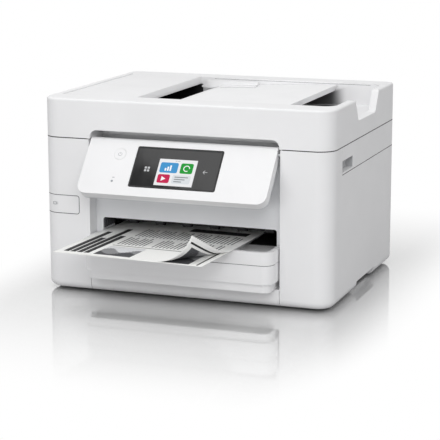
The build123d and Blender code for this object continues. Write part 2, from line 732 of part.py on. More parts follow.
# Printed pages, as one thin pile that lies across the ribs and out over the front
SKEW = math.radians(SHEET_SKEW)
SHEET_RIGHT = SHEET_W / 2 + SHEET_SHIFT
SHEET_PLANE = Plane(origin=(SHEET_RIGHT, FRONT - SHEET_REACH, RIB_TOP - SLIDE),
                    x_dir=(math.cos(SKEW), -math.sin(SKEW), 0), z_dir=(0, 0, 1))
with BuildPart(SHEET_PLANE) as printed_sheets:
    slab((-SHEET_W, 0), (0, SHEET_L), (0, SHEET_T))
finish(printed_sheets.part, "printed_sheets")

# Paper cassette: a two-step front and an open tray behind it
FRONT_UPPER = drawer_lip(0, CASSETTE_STEP_Z, CASSETTE_TOP)
FRONT_LOWER = drawer_lip(CASSETTE_STEP, CASSETTE_Z, CASSETTE_STEP_Z)
FRONT_HOLLOW = drawer_lip(CASSETTE_STEP + WALL, CASSETTE_Z - PAST, CASSETTE_TOP + PAST, LIP_BACK + PAST)
with BuildPart() as cassette_front:
    add(FRONT_UPPER)
    add(FRONT_LOWER)
    add(FRONT_HOLLOW, mode=Mode.SUBTRACT)
finish(cassette_front.part, "cassette_front")

CASSETTE_HALF = DRAWER_HALF - CASSETTE_SIDE
CASSETTE_START = CASSETTE_STEP + WALL - LIP_REACH
TRAY_DEEP = (CASSETTE_START + LIP_R, CASSETTE_END)
with BuildPart() as cassette_tray:
    block((-CASSETTE_HALF, CASSETTE_HALF), TRAY_DEEP, (CASSETTE_Z, CASSETTE_Z + WALL))
    block((-CASSETTE_HALF + LIP_R, CASSETTE_HALF - LIP_R), (CASSETTE_START, TRAY_DEEP[0]),
          (CASSETTE_Z, CASSETTE_Z + WALL))
    for side in (-1, 1):
        block(span(side, CASSETTE_HALF - WALL, CASSETTE_HALF), TRAY_DEEP, (CASSETTE_Z, CASSETTE_SIDE_Z))
    block((-CASSETTE_HALF, CASSETTE_HALF), (CASSETTE_END - WALL, CASSETTE_END), (CASSETTE_Z, CASSETTE_REAR_Z))
    block((-CASSETTE_HALF + LIP_R, CASSETTE_HALF - LIP_R), (CASSETTE_START, CASSETTE_START + WALL),
          (CASSETTE_Z, CASSETTE_SIDE_Z))
finish(cassette_tray.part, "cassette_tray")

# Paper guides in the cassette, which slide on its floor
STOP_FLOOR = CASSETTE_Z + WALL
STOP_END = CASSETTE_END - STOP_BACK


def side_stop(side):
    """One of the two width guides, with a flat foot towards the middle."""
    with BuildPart() as stop:
        block(span(side, STOP_X - WALL, STOP_X), STOP_D, (STOP_FLOOR, STOP_TOP))
        block(span(side, STOP_X - STOP_FOOT, STOP_X - WALL), STOP_D, (STOP_FLOOR, STOP_FLOOR + WALL))
    return stop.part


finish(side_stop(-1), "cassette_guide_left")
finish(side_stop(1), "cassette_guide_right")

with BuildPart() as cassette_end_guide:
    block((-STOP_HALF, STOP_HALF), (STOP_END - WALL, STOP_END), (STOP_FLOOR, CASSETTE_REAR_Z - PAST))
    block((-STOP_HALF, STOP_HALF), (STOP_END - WALL - STOP_FOOT, STOP_END - WALL),
          (STOP_FLOOR, STOP_FLOOR + WALL))
finish(cassette_end_guide.part, "cassette_end_guide")

# Scanner bed: a shallow tub under the glass, with finger recesses and both hinges at its rear
UNIT_D = (UNIT_FRONT, BODY_D + PAST)
GRIP_SPAN = (UNIT_FRONT, UNIT_FRONT + GRIP_UNIT[0])
UNIT_SOLID = casing(0, UNIT_LOW, FRAME_LOW)
UNIT_ZONE = brick(ALL_X, UNIT_D, (UNIT_LOW, FRAME_LOW))
UNIT_INSIDE = brick(ALL_X, (UNIT_FRONT + WALL, BODY_D), (UNIT_LOW, LID_Z))
UNIT_HOLLOW = casing(WALL, UNIT_LOW + WALL, LID_Z) & UNIT_INSIDE
for grip_side in (-1, 1):
    UNIT_HOLLOW = UNIT_HOLLOW - brick(span(grip_side, HALF_W - GRIP_UNIT_DEEP - WALL, HALF_W),
                                      (UNIT_FRONT, GRIP_SPAN[1] + WALL), (UNIT_LOW, GRIP_UNIT[1] + WALL))
ROD_X = HALF_W - WALL
with BuildPart() as scanner_bed:
    add(UNIT_SOLID)
    add(UNIT_ZONE, mode=Mode.INTERSECT)
    add(UNIT_HOLLOW, mode=Mode.SUBTRACT)
    for side in (-1, 1):
        block(span(side, HALF_W - GRIP_UNIT_DEEP, HALF_W + PAST), (UNIT_FRONT - PAST, GRIP_SPAN[1]),
              (UNIT_LOW + WALL, GRIP_UNIT[1]), Mode.SUBTRACT)
        block(span(side, ROD_X - ROD_SEAT, ROD_X), (ROD_D - ROD_SEAT, ROD_D + ROD_SEAT),
              (UNIT_LOW + WALL, ROD_Z + 2 * ROD_R))
        knuckle(side * UNIT_HINGE_X, UNIT_HINGE_Z)
        ears(side * LID_HINGE_X, LID_HINGE_Z, FRAME_LOW - HINGE_WEB, LID_HINGE_Z)
    rod_x((-ROD_X, ROD_X), ROD_D, ROD_Z, ROD_R + SEAT, Mode.SUBTRACT)
finish(scanner_bed.part, "scanner_bed")

FRAME_SOLID = casing(0, FRAME_LOW, LID_Z)
FRAME_ZONE = brick(ALL_X, UNIT_D, (FRAME_LOW, LID_Z))
with BuildPart() as scanner_frame:
    add(FRAME_SOLID)
    add(FRAME_ZONE, mode=Mode.INTERSECT)
    for window in (WINDOW_X, STRIP_X):
        block(window, WINDOW_D, (FRAME_LOW, LID_Z), Mode.SUBTRACT)
finish(scanner_frame.part, "scanner_frame")

GLASS_D = (WINDOW_D[0] - GLASS_LAP, WINDOW_D[1] + GLASS_LAP)
with BuildPart() as platen_glass:
    for window in (WINDOW_X, STRIP_X):
        block((window[0] - GLASS_LAP, window[1] + GLASS_LAP), GLASS_D, (FRAME_LOW - GLASS_PLATE, FRAME_LOW))
finish(platen_glass.part, "platen_glass")

with BuildPart() as scan_rod:
    rod_x((-ROD_X, ROD_X), ROD_D, ROD_Z, ROD_R)
finish(scan_rod.part, "scan_rod")

SENSOR_SPAN = (SENSOR_X - SENSOR_W / 2, SENSOR_X + SENSOR_W / 2)
SENSOR_TOP = FRAME_LOW - GLASS_PLATE - ROD_BELOW
with BuildPart() as scan_sensor:
    block(SENSOR_SPAN, GLASS_D, (SENSOR_LOW, SENSOR_TOP))
    block(SENSOR_SPAN, (ROD_D - 2 * ROD_R, ROD_D + 2 * ROD_R), (ROD_Z - ROD_R - ROD_BELOW, SENSOR_LOW))
    rod_x(SENSOR_SPAN, ROD_D, ROD_Z, ROD_R + RUN, Mode.SUBTRACT)
finish(scan_sensor.part, "scan_sensor")

# Document cover: a deep lid with an open well, a notch in its right wall and a raised soffit over the panel
TUB_X = (WELL_LEFT - WALL, WELL_RIGHT + WALL)
TUB_D = (WELL_D[0] - WALL, WELL_D[1] + WALL)
LID_SOLID = casing(0, LID_LOW, BODY_H, top_round=LID_ROUND)
LID_INSIDE = casing(LID_WALL, LID_LOW - PAST, BODY_H - LID_WALL)
ADF_PIVOT = (WELL_LEFT + ADF_END_GAP + ADF_BARREL, BODY_H - ADF_BARREL)
NOTCH_OUT = (NOTCH_TOP[0] - NOTCH_R, NOTCH_TOP[1] + NOTCH_R)
NOTCH_BACKING = (NOTCH_OUT[0] - LID_WALL, NOTCH_OUT[1] + LID_WALL)
NOTCH_SHAPE = ((NOTCH_OUT[0], BODY_H + PAST), (NOTCH_OUT[0], BODY_H), (NOTCH_TOP[0], BODY_H),
               (NOTCH_LOW[0], NOTCH_Z), (NOTCH_LOW[1], NOTCH_Z), (NOTCH_TOP[1], BODY_H),
               (NOTCH_OUT[1], BODY_H), (NOTCH_OUT[1], BODY_H + PAST))


def soffit_block(half, depth, high):
    """The space over the panel, rounded at its upper corners."""
    with BuildPart() as form:
        with BuildSketch(upright(depth)) as arch:
            with Locations((0, (LID_LOW - PAST + high) / 2)):
                Rectangle(2 * half, high - LID_LOW + PAST)
            fillet(arch.vertices().group_by(Axis.Y)[-1], SOFFIT_R)
        extrude(amount=depth + PAST)
    return form.part


SOFFIT_SPACE = soffit_block(SOFFIT_HALF, SOFFIT_D, SOFFIT_Z)
SOFFIT_SKIN = soffit_block(SOFFIT_HALF + LID_WALL, SOFFIT_D + LID_WALL, SOFFIT_Z + LID_WALL) & LID_SOLID
with BuildPart() as document_cover:
    add(LID_SOLID)
    add(LID_INSIDE, mode=Mode.SUBTRACT)
    block(TUB_X, TUB_D, (TUB_FLOOR - WALL, BODY_H - LID_WALL))
    block((WELL_RIGHT, HALF_W - LID_WALL / 2), NOTCH_BACKING, (NOTCH_Z - LID_WALL, BODY_H - LID_WALL / 2))
    add(SOFFIT_SKIN)
    with BuildSketch(Plane.XY.offset(TUB_FLOOR)) as well:
        with Locations(((WELL_LEFT + WELL_RIGHT) / 2, FRONT + (WELL_D[0] + WELL_D[1]) / 2)):
            Rectangle(WELL_RIGHT - WELL_LEFT, WELL_D[1] - WELL_D[0])
        fillet(well.vertices().group_by(Axis.X)[-1], WELL_R)
    extrude(amount=BODY_H - TUB_FLOOR + PAST, mode=Mode.SUBTRACT)
    prism_y(((WELL_SLOPE[0], TUB_FLOOR), (WELL_RIGHT, TUB_FLOOR), (WELL_RIGHT, WELL_SLOPE[1])), WELL_D)
    add(SOFFIT_SPACE, mode=Mode.SUBTRACT)
    with BuildSketch(Plane.YZ.offset(HALF_W + PAST)) as notch:
        with BuildLine():
            Polyline(*[(FRONT + depth, z) for depth, z in NOTCH_SHAPE], close=True)
        make_face()
        inner = (FRONT + NOTCH_TOP[0] - PAST, FRONT + NOTCH_TOP[1] + PAST)
        fillet(notch.vertices().filter_by_position(Axis.X, *inner), NOTCH_R)
    extrude(amount=WELL_RIGHT - HALF_W - 2 * PAST, mode=Mode.SUBTRACT)
    rod_y(ADF_PIVOT[0], (WELL_D[0] - WALL, WELL_D[1] + WALL), ADF_PIVOT[1], ADF_STUB + RUN, Mode.SUBTRACT)
    rod_y(TRAY_PIVOT[0], (WELL_D[0] - WALL, WELL_D[1] + WALL), TRAY_PIVOT[1], ADF_STUB + RUN, Mode.SUBTRACT)
    rod_y(ADF_ROLLER_X, (WELL_D[0] - WALL, WELL_D[1] + WALL), ADF_ROLLER_Z, ADF_SHAFT_R + RUN, Mode.SUBTRACT)
    for side in (-1, 1):
        knuckle(side * LID_HINGE_X, LID_HINGE_Z)
finish(document_cover.part, "document_cover")

# Plate that closes the lid underneath, on bosses against the well floor, and the foam mat under it
LID_PLATE = casing(LID_WALL + SEAM, PLATE_Z, PLATE_Z + WALL)
LID_PLATE_ZONE = brick(ALL_X, (SOFFIT_D + LID_WALL + SEAM, BODY_D), (PLATE_Z, PLATE_Z + WALL))
with BuildPart() as document_plate:
    add(LID_PLATE)
    add(LID_PLATE_ZONE, mode=Mode.INTERSECT)
    for x in (WELL_LEFT + BOSS_INSET, WELL_RIGHT - BOSS_INSET):
        for depth in (WELL_D[0] + 2 * BOSS_INSET, WELL_D[1] - BOSS_INSET):
            rod_z(x, depth, (PLATE_Z + WALL, TUB_FLOOR - WALL), BOSS_R)
finish(document_plate.part, "document_plate")

with BuildPart() as document_mat:
    block((WINDOW_X[0] + MAT_INSET, WINDOW_X[1] - MAT_INSET),
          (WINDOW_D[0] + MAT_INSET, WINDOW_D[1] - MAT_INSET), (FRAME_LOW + MAT_CLEAR, PLATE_Z))
finish(document_mat.part, "document_mat")

# Feeder cover: a flat top with a short lip turned down at its open end, hinged at the left
ADF_D = (WELL_D[0] + ADF_END_GAP, WELL_D[1] - ADF_END_GAP)
ADF_UNDER = (ADF_EDGE - ADF_T / 2, BODY_H - ADF_T)
ADF_TOP = ((ADF_PIVOT[0], BODY_H), (ADF_EDGE, BODY_H), ADF_LIP, (ADF_LIP[0], ADF_LIP[1] - ADF_T),
           (ADF_LIP[0] - ADF_T, ADF_LIP[1] - ADF_T), ADF_UNDER, (ADF_PIVOT[0], BODY_H - ADF_T))
CHEEK_Z = ADF_LIP[1] + CHEEK_RISE
ADF_CHEEK = ((ADF_PIVOT[0] + CHEEK_TOP, BODY_H - ADF_T), ADF_UNDER,
             (ADF_EDGE + CHEEK_SLOPE, CHEEK_Z), (ADF_PIVOT[0] + CHEEK_LOW, CHEEK_Z))
with BuildPart() as adf_cover:
    prism_y(ADF_TOP, ADF_D)
    for start in (ADF_D[0], ADF_D[1] - WALL):
        prism_y(ADF_CHEEK, (start, start + WALL))
    rod_y(ADF_PIVOT[0], ADF_D, ADF_PIVOT[1], ADF_BARREL)
    rod_y(ADF_PIVOT[0], (WELL_D[0] - WALL + SLIDE, WELL_D[1] + WALL - SLIDE), ADF_PIVOT[1], ADF_STUB)
finish(adf_cover.part, "adf_cover")


def tray_height(x):
    """The height of the input tray's top face at an X right of the dip at its hinge."""
    slope = (TRAY_RIGHT[1] - TRAY_BREAK[1]) / (TRAY_RIGHT[0] - TRAY_BREAK[0])
    return TRAY_BREAK[1] + slope * (x - TRAY_BREAK[0])


TRAY_D = (WELL_D[0] + TRAY_END_GAP, WELL_D[1] - TRAY_END_GAP)
LIP_X = TRAY_RIGHT[0] - TRAY_LIP_RUN
LIP_LOW = (TRAY_RIGHT[0] - TRAY_LIP_LEAN, TRAY_RIGHT[1] - TRAY_LIP)
ADF_TRAY = ((TRAY_PIVOT[0], TRAY_LEFT_Z), TRAY_BREAK, TRAY_RIGHT, LIP_LOW,
            (LIP_X, tray_height(LIP_X) - TRAY_THICK), (TRAY_BREAK[0], TRAY_BREAK[1] - TRAY_THICK),
            (TRAY_PIVOT[0], TRAY_LEFT_Z - TRAY_THICK))
with BuildPart() as adf_tray:
    prism_y(ADF_TRAY, TRAY_D)
    rod_y(TRAY_PIVOT[0], TRAY_D, TRAY_PIVOT[1], TRAY_THICK / 2)
    rod_y(TRAY_PIVOT[0], (WELL_D[0] - WALL + SLIDE, WELL_D[1] + WALL - SLIDE), TRAY_PIVOT[1], ADF_STUB)
finish(adf_tray.part, "adf_tray")


def paper_guide(fence, foot):
    """A fence on the input tray, with a nose over the tray's dip and a thin foot along its slope."""
    low = [(x, tray_height(x) + SLIDE) for x in (TRAY_BREAK[0], GUIDE_X[1])]
    dip = (TRAY_PIVOT[0], TRAY_LEFT_Z + GUIDE_DIP)
    with BuildPart() as guide:
        prism_y((GUIDE_NOSE, dip, low[0], low[1], (GUIDE_X[1], GUIDE_TOP), (GUIDE_X[0], GUIDE_TOP),
                 (GUIDE_X[0], GUIDE_BROW), (GUIDE_NOSE[0], GUIDE_NOSE_TOP)), fence)
        prism_y((low[0], low[1], (low[1][0], low[1][1] + RIB_T), (low[0][0], low[0][1] + RIB_T)), foot)
    return guide.part


FENCE_FRONT = (WELL_D[0] + GUIDE_EDGE, WELL_D[0] + GUIDE_EDGE + GUIDE_T)
FENCE_REAR = (WELL_D[1] - GUIDE_REAR_EDGE - GUIDE_T, WELL_D[1] - GUIDE_REAR_EDGE)
finish(paper_guide(FENCE_FRONT, (FENCE_FRONT[1], FENCE_FRONT[1] + GUIDE_FOOT)), "adf_guide_front")
finish(paper_guide(FENCE_REAR, (FENCE_REAR[0] - GUIDE_FOOT, FENCE_REAR[0])), "adf_guide_rear")

ADF_MID = (WELL_D[0] + WELL_D[1]) / 2
with BuildPart() as adf_roller:
    rod_y(ADF_ROLLER_X, (WELL_D[0] - WALL + SLIDE, WELL_D[1] + WALL - SLIDE), ADF_ROLLER_Z, ADF_SHAFT_R)
    rod_y(ADF_ROLLER_X, (ADF_MID - ADF_ROLLER_W / 2, ADF_MID + ADF_ROLLER_W / 2), ADF_ROLLER_Z, ADF_ROLLER_R)
finish(adf_roller.part, "adf_roller")

# Side plates of the print works, standing on the bottom tray
IDLER_R = (FEED_D - EJECT_D) / 2 - GEAR_R
IDLER_D = EJECT_D + GEAR_R + IDLER_R
PINION_Z = ROLLER_Z - GEAR_R - PINION_R
GEAR_X = (-FRAME_X - FRAME_T - GEAR_GAP - GEAR_T, -FRAME_X - FRAME_T - GEAR_GAP)
with BuildPart() as side_frames:
    for side in (-1, 1):
        block(span(side, FRAME_X, FRAME_X + FRAME_T), FRAME_D, (BASE_Z + WALL, FRAME_TOP))
        for depth in (EJECT_D, FEED_D):
            rod_x(span(side, FRAME_X - PAST, FRAME_X + FRAME_T + PAST), depth, ROLLER_Z, SHAFT_R + RUN,
                  Mode.SUBTRACT)
    rod_x((-FRAME_X - FRAME_T - PAST, -FRAME_X + PAST), FEED_D, PINION_Z, MOTOR_SHAFT_R + 2 * SLIDE,
          Mode.SUBTRACT)
    rod_x((GEAR_X[0], -FRAME_X), IDLER_D, ROLLER_Z, SHAFT_R)
    for depth in BOARD_POST_D:
        for z in BOARD_POST_Z:
            rod_x((FRAME_X + FRAME_T, BOARD_X), depth, z, SHAFT_R)
finish(side_frames.part, "side_frames")


def gear(pitch_r, teeth, depth, z, bore):
    """A toothed wheel on the left side plate, its teeth kept short of the pitch line."""
    tip = pitch_r - MESH_GAP / 2
    with BuildPart() as wheel:
        rod_x(GEAR_X, depth, z, tip)
        with BuildSketch(Plane(origin=(GEAR_X[0], FRONT + depth, z), x_dir=(0, 1, 0), z_dir=(1, 0, 0))):
            with PolarLocations(tip, teeth):
                Circle(math.pi * tip / teeth / 2)
        extrude(amount=GEAR_T, mode=Mode.SUBTRACT)
        rod_x(GEAR_X, depth, z, bore, Mode.SUBTRACT)
    return wheel.part


finish(gear(GEAR_R, GEAR_TEETH, FEED_D, ROLLER_Z, SHAFT_R + SEAT), "feed_gear")
finish(gear(GEAR_R, GEAR_TEETH, EJECT_D, ROLLER_Z, SHAFT_R + SEAT), "eject_gear")
finish(gear(IDLER_R, GEAR_TEETH, IDLER_D, ROLLER_Z, SHAFT_R + RUN), "idler_gear")
finish(gear(PINION_R, PINION_TEETH, FEED_D, PINION_Z, MOTOR_SHAFT_R + RUN), "feed_pinion")

SHAFT_X = (GEAR_X[0], FRAME_X + 2 * FRAME_T)
BETWEEN = (-FRAME_X + SLIDE, FRAME_X - SLIDE)
with BuildPart() as feed_roller:
    rod_x(SHAFT_X, FEED_D, ROLLER_Z, SHAFT_R)
    rod_x(BETWEEN, FEED_D, ROLLER_Z, ROLLER_R)
finish(feed_roller.part, "feed_roller")

with BuildPart() as eject_roller:
    rod_x(SHAFT_X, EJECT_D, ROLLER_Z, SHAFT_R)
    for i in range(RING_COUNT):
        x = (i - (RING_COUNT - 1) / 2) * RING_PITCH
        rod_x((x - RING_W / 2, x + RING_W / 2), EJECT_D, ROLLER_Z, ROLLER_R)
finish(eject_roller.part, "eject_roller")

with BuildPart() as feed_motor:
    rod_x((-FRAME_X, -FRAME_X + MOTOR_LENGTH), FEED_D, PINION_Z, MOTOR_R)
    rod_x((GEAR_X[0], -FRAME_X), FEED_D, PINION_Z, MOTOR_SHAFT_R)
finish(feed_motor.part, "feed_motor")

# Carriage rail between the side plates, with the belt drive at its back
BELT_SPAN = (BELT_D - BELT_W / 2, BELT_D + BELT_W / 2)
RAIL_BACK = RAIL_D + RAIL_STEEL
with BuildPart() as carriage_rail:
    block((-FRAME_X, FRAME_X), (RAIL_D, RAIL_D + RAIL_STEEL), (RAIL_LOW, FRAME_TOP))
    block((-FRAME_X, FRAME_X), (RAIL_D - RAIL_LIP, RAIL_D), (FRAME_TOP - RAIL_STEEL, FRAME_TOP))
    block((-FRAME_X, FRAME_X), (RAIL_D - RAIL_LIP, RAIL_D), (RAIL_LOW, RAIL_LOW + RAIL_STEEL))
    rod_y(PULLEY_X, (BELT_SPAN[0], RAIL_D), PULLEY_Z, MOTOR_SHAFT_R)
    rod_y(-PULLEY_X, (RAIL_D - PAST, RAIL_BACK + PAST), PULLEY_Z, MOTOR_SHAFT_R + 2 * SLIDE, Mode.SUBTRACT)
finish(carriage_rail.part, "carriage_rail")

with BuildPart() as belt_motor:
    rod_y(-PULLEY_X + BELT_MOTOR_SHIFT, (RAIL_BACK, RAIL_BACK + BELT_MOTOR_LENGTH), PULLEY_Z, BELT_MOTOR_R)
    rod_y(-PULLEY_X, (BELT_SPAN[0], RAIL_BACK), PULLEY_Z, MOTOR_SHAFT_R)
finish(belt_motor.part, "belt_motor")


def pulley(x):
    """A plain belt pulley with a running bore."""
    with BuildPart() as wheel:
        rod_y(x, BELT_SPAN, PULLEY_Z, PULLEY_R)
        rod_y(x, BELT_SPAN, PULLEY_Z, MOTOR_SHAFT_R + RUN, Mode.SUBTRACT)
    return wheel.part


finish(pulley(-PULLEY_X), "motor_pulley")
finish(pulley(PULLEY_X), "idler_pulley")

with BuildPart() as carriage_belt:
    for radius, mode in ((BELT_R + BELT_T, Mode.ADD), (BELT_R, Mode.SUBTRACT)):
        with BuildSketch(upright(BELT_SPAN[1])):
            with Locations((0, PULLEY_Z)):
                SlotCenterToCenter(2 * PULLEY_X, 2 * radius)
        extrude(amount=BELT_W, mode=mode)
finish(carriage_belt.part, "carriage_belt")

# Carriage with its cartridges: it rides on the rail's lower lip and holds a tongue under the belt
BELT_LOW = PULLEY_Z - BELT_R - BELT_T
POCKET = (CARRIAGE_X[0] + WALL, CARRIAGE_X[1] - WALL)
POCKET_D = (CARRIAGE_D[0] + WALL, CARRIAGE_D[1] - 4 * WALL)
LIP_TOP = RAIL_LOW + RAIL_STEEL
TONGUE_X = (CARRIAGE_X[0] + TONGUE_INSET, CARRIAGE_X[1] - TONGUE_INSET)
with BuildPart() as carriage:
    block(CARRIAGE_X, CARRIAGE_D, CARRIAGE_Z)
    block(POCKET, POCKET_D, (CARRIAGE_Z[0] + WALL, CARRIAGE_Z[1]), Mode.SUBTRACT)
    block(CARRIAGE_X, (CARRIAGE_D[1], RAIL_D - RAIL_CLEAR), (LIP_TOP + SLIDE, LIP_TOP + 2 * WALL))
    block(TONGUE_X, (CARRIAGE_D[1], BELT_SPAN[1]), (BELT_LOW - 2 * WALL, BELT_LOW - SLIDE))
    block(CARRIAGE_X, (RAIL_D - RAIL_LIP - RAIL_CLEAR, RAIL_D), (CARRIAGE_Z[0] - PAST, LIP_TOP + SLIDE),
          Mode.SUBTRACT)
finish(carriage.part, "carriage")

CARTRIDGE_PITCH = (POCKET[1] - POCKET[0]) / CARTRIDGE_COUNT
with BuildPart() as ink_cartridges:
    for i in range(CARTRIDGE_COUNT):
        low = POCKET[0] + i * CARTRIDGE_PITCH
        block((low + CARTRIDGE_GAP, low + CARTRIDGE_PITCH - CARTRIDGE_GAP),
              (POCKET_D[0] + CARTRIDGE_GAP, POCKET_D[1] - CARTRIDGE_GAP),
              (CARRIAGE_Z[0] + WALL, CARTRIDGE_TOP))
finish(ink_cartridges.part, "ink_cartridges")

with BuildPart() as platen:
    block((-FRAME_X, STATION_X - SLIDE), PLATEN_D, PLATEN_Z)
    for i in range(RING_COUNT - 1):
        x = (i - (RING_COUNT - 1) / 2) * RING_PITCH
        block((x - RIB_T, x + RIB_T), PLATEN_D, (PLATEN_Z[1], PLATEN_Z[1] + PLATEN_RIB))
finish(platen.part, "platen")

STATION_D = (PLATEN_D[0] + STATION_INSET, PLATEN_D[1] + STATION_BACK)
CAP_D = (STATION_D[0] + CAP_EDGE, STATION_D[1] - CAP_EDGE)
with BuildPart() as maintenance_station:
    block((STATION_X, FRAME_X), STATION_D, (PLATEN_Z[0] - STATION_DEEP, PLATEN_Z[1]))
    for i in range(CARTRIDGE_COUNT):
        low = POCKET[0] + i * CARTRIDGE_PITCH
        block((low + CAP_INSET, low + CARTRIDGE_PITCH - CAP_INSET), CAP_D,
              (PLATEN_Z[1] - CAP_DEEP, PLATEN_Z[1]), Mode.SUBTRACT)
finish(maintenance_station.part, "maintenance_station")

# Pick-up arm across the frames with the roller that draws paper from the cassette
LEVER_SPAN = math.dist(PICK_BAR, PICK_AXLE)
LEVER_ANGLE = math.degrees(math.atan2(PICK_AXLE[1] - PICK_BAR[1], PICK_AXLE[0] - PICK_BAR[0]))
LEVER_MID = (FRONT + (PICK_BAR[0] + PICK_AXLE[0]) / 2, (PICK_BAR[1] + PICK_AXLE[1]) / 2)
with BuildPart() as pickup_arm:
    rod_x((-FRAME_X, FRAME_X), PICK_BAR[0], PICK_BAR[1], PICK_BAR_R)
    for side in (-1, 1):
        lever = span(side, PICK_HALF + SLIDE, PICK_HALF + SLIDE + LEVER_T)
        with BuildSketch(Plane.YZ.offset(lever[0])):
            with Locations(LEVER_MID):
                SlotCenterToCenter(LEVER_SPAN, LEVER_W, rotation=LEVER_ANGLE)
        extrude(amount=LEVER_T)
        rod_x((lever[0] - PAST, lever[1] + PAST), PICK_AXLE[0], PICK_AXLE[1], PICK_AXLE_R + RUN,
              Mode.SUBTRACT)
finish(pickup_arm.part, "pickup_arm")

with BuildPart() as pickup_roller:
    rod_x((-PICK_HALF, PICK_HALF), PICK_AXLE[0], PICK_AXLE[1], PICK_ROLLER_R)
    rod_x((-PICK_HALF - LEVER_T, PICK_HALF + LEVER_T), PICK_AXLE[0], PICK_AXLE[1], PICK_AXLE_R)
finish(pickup_roller.part, "pickup_roller")

# Main board with its rear sockets, power supply and mains inlet
PORT_REACH = BODY_D - PORT_SINK
PORT_X = (BOARD_X - PORT_W, BOARD_X)
with BuildPart() as main_board:
    block((BOARD_X, BOARD_X + BOARD_T), BOARD_D, BOARD_Z)
    for band in PORT_BANDS:
        block(PORT_X, (BOARD_D[1] - PORT_W, PORT_REACH), band)
        block((PORT_X[0] + WALL, PORT_X[1] - WALL), (PORT_REACH - PORT_DEEP, PORT_REACH),
              (band[0] + WALL, band[1] - WALL), Mode.SUBTRACT)
finish(main_board.part, "main_board")

with BuildPart() as power_supply:
    block(SUPPLY_X, SUPPLY_D, (BASE_Z + WALL, SUPPLY_TOP))
finish(power_supply.part, "power_supply")

INLET_MID = ((INLET_X[0] + INLET_X[1]) / 2, (INLET_Z[0] + INLET_Z[1]) / 2)
INLET_END = BODY_D + PAST
with BuildPart() as power_inlet:
    block(INLET_X, (SUPPLY_D[1], INLET_END), INLET_Z)
    with BuildSketch(upright(INLET_END)):
        with Locations(INLET_MID):
            SlotCenterToCenter(2 * INLET_SLOT_R, 2 * INLET_SLOT_R)
    extrude(amount=INLET_DEEP, mode=Mode.SUBTRACT)
    for side in (-1, 1):
        rod_y(INLET_MID[0] + side * INLET_SLOT_R, (INLET_END - INLET_DEEP, BODY_D - INLET_PIN_SINK),
              INLET_MID[1], INLET_PIN_R)
finish(power_inlet.part, "power_inlet")
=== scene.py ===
"""Looks of a desktop inkjet printer with flatbed scanner and sheet feeder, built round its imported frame."""

import math

import bpy
from mathutils import Matrix, Vector

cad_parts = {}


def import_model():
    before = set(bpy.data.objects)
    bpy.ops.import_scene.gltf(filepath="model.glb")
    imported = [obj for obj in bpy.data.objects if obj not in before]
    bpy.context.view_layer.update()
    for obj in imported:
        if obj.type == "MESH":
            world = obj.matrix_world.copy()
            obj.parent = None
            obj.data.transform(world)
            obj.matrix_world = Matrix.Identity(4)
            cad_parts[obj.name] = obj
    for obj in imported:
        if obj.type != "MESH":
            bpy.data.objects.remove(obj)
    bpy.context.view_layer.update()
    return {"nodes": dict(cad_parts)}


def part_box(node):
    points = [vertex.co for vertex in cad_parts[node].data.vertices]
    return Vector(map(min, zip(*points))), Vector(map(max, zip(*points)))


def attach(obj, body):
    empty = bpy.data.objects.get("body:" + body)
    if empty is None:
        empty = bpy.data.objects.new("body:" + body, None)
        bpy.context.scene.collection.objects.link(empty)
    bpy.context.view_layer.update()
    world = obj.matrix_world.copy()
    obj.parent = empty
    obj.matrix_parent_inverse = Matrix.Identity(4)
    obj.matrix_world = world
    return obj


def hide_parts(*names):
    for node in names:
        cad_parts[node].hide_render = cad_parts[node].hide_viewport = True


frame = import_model()
MM = 0.001

# The photograph's camera: degrees and metres, image and focal length in pixels, sensor in millimetres
IMAGE = 440.0
CAM_AZIMUTH = 20.19
CAM_ELEVATION = 12.0
CAM_ROLL = -0.11
CAM_DISTANCE = 2.31891
CAM_TARGET = Vector((-0.00562, 0.0595, 0.07819))
CAM_FOCAL = 1628.28
CAM_CENTRE = (220.43, 220.22)
CAM_CLIP = (0.05, 60.0)
SENSOR = 36.0

# Light: each softbox has a name, a place and a size in metres, and a power in watts
SOFTBOXES = (
    ("key_softbox", (0.72, -1.76, 1.2), (1.0, 1.0), 11.1),
    ("fill_softbox", (-0.3, -2.26, 0.34), (1.6, 0.5), 8.5),
    ("top_softbox", (-0.235, -0.3, 1.7), (0.67, 1.1), 7.6),
    ("side_softbox", (1.9, -0.5, 0.5), (0.6, 0.8), 2.3),
)
LIGHT_AIM = Vector((0.0, 0.0, 0.1))
WORLD_LEVEL = 0.55
PURE_WHITE = (1.0, 1.0, 1.0, 1.0)

# The floor, in metres, and how it fades to white round the machine's footprint
FLOOR_HALF = 6.0
FLOOR_DROP = 0.0003
FOOTPRINT_MIDDLE = (0.0, 0.06, 0.0)
FOOTPRINT_HALF = (0.205, 0.16, 10.0)
FADE_STRETCH = (3.5, 1.0, 0.0)
FLOOR_FADE = 0.42
FLOOR_GLOSS = 0.68
FLOOR_ROUGH = 0.06
FLOOR_BOUNCE_ROUGH = 0.5
FLOOR_BOUNCE = (0.38, 0.38, 0.385, 1.0)
FLOOR_WHITE = (0.9, 0.9, 0.9, 1.0)

# The casing: millimetres from here on unless said, with depth running back from its front face
FRONT = -100.5
HALF_W = 205.0
FRONT_R = 24.0
REAR_R = 12.0
REAR_D = 320.0

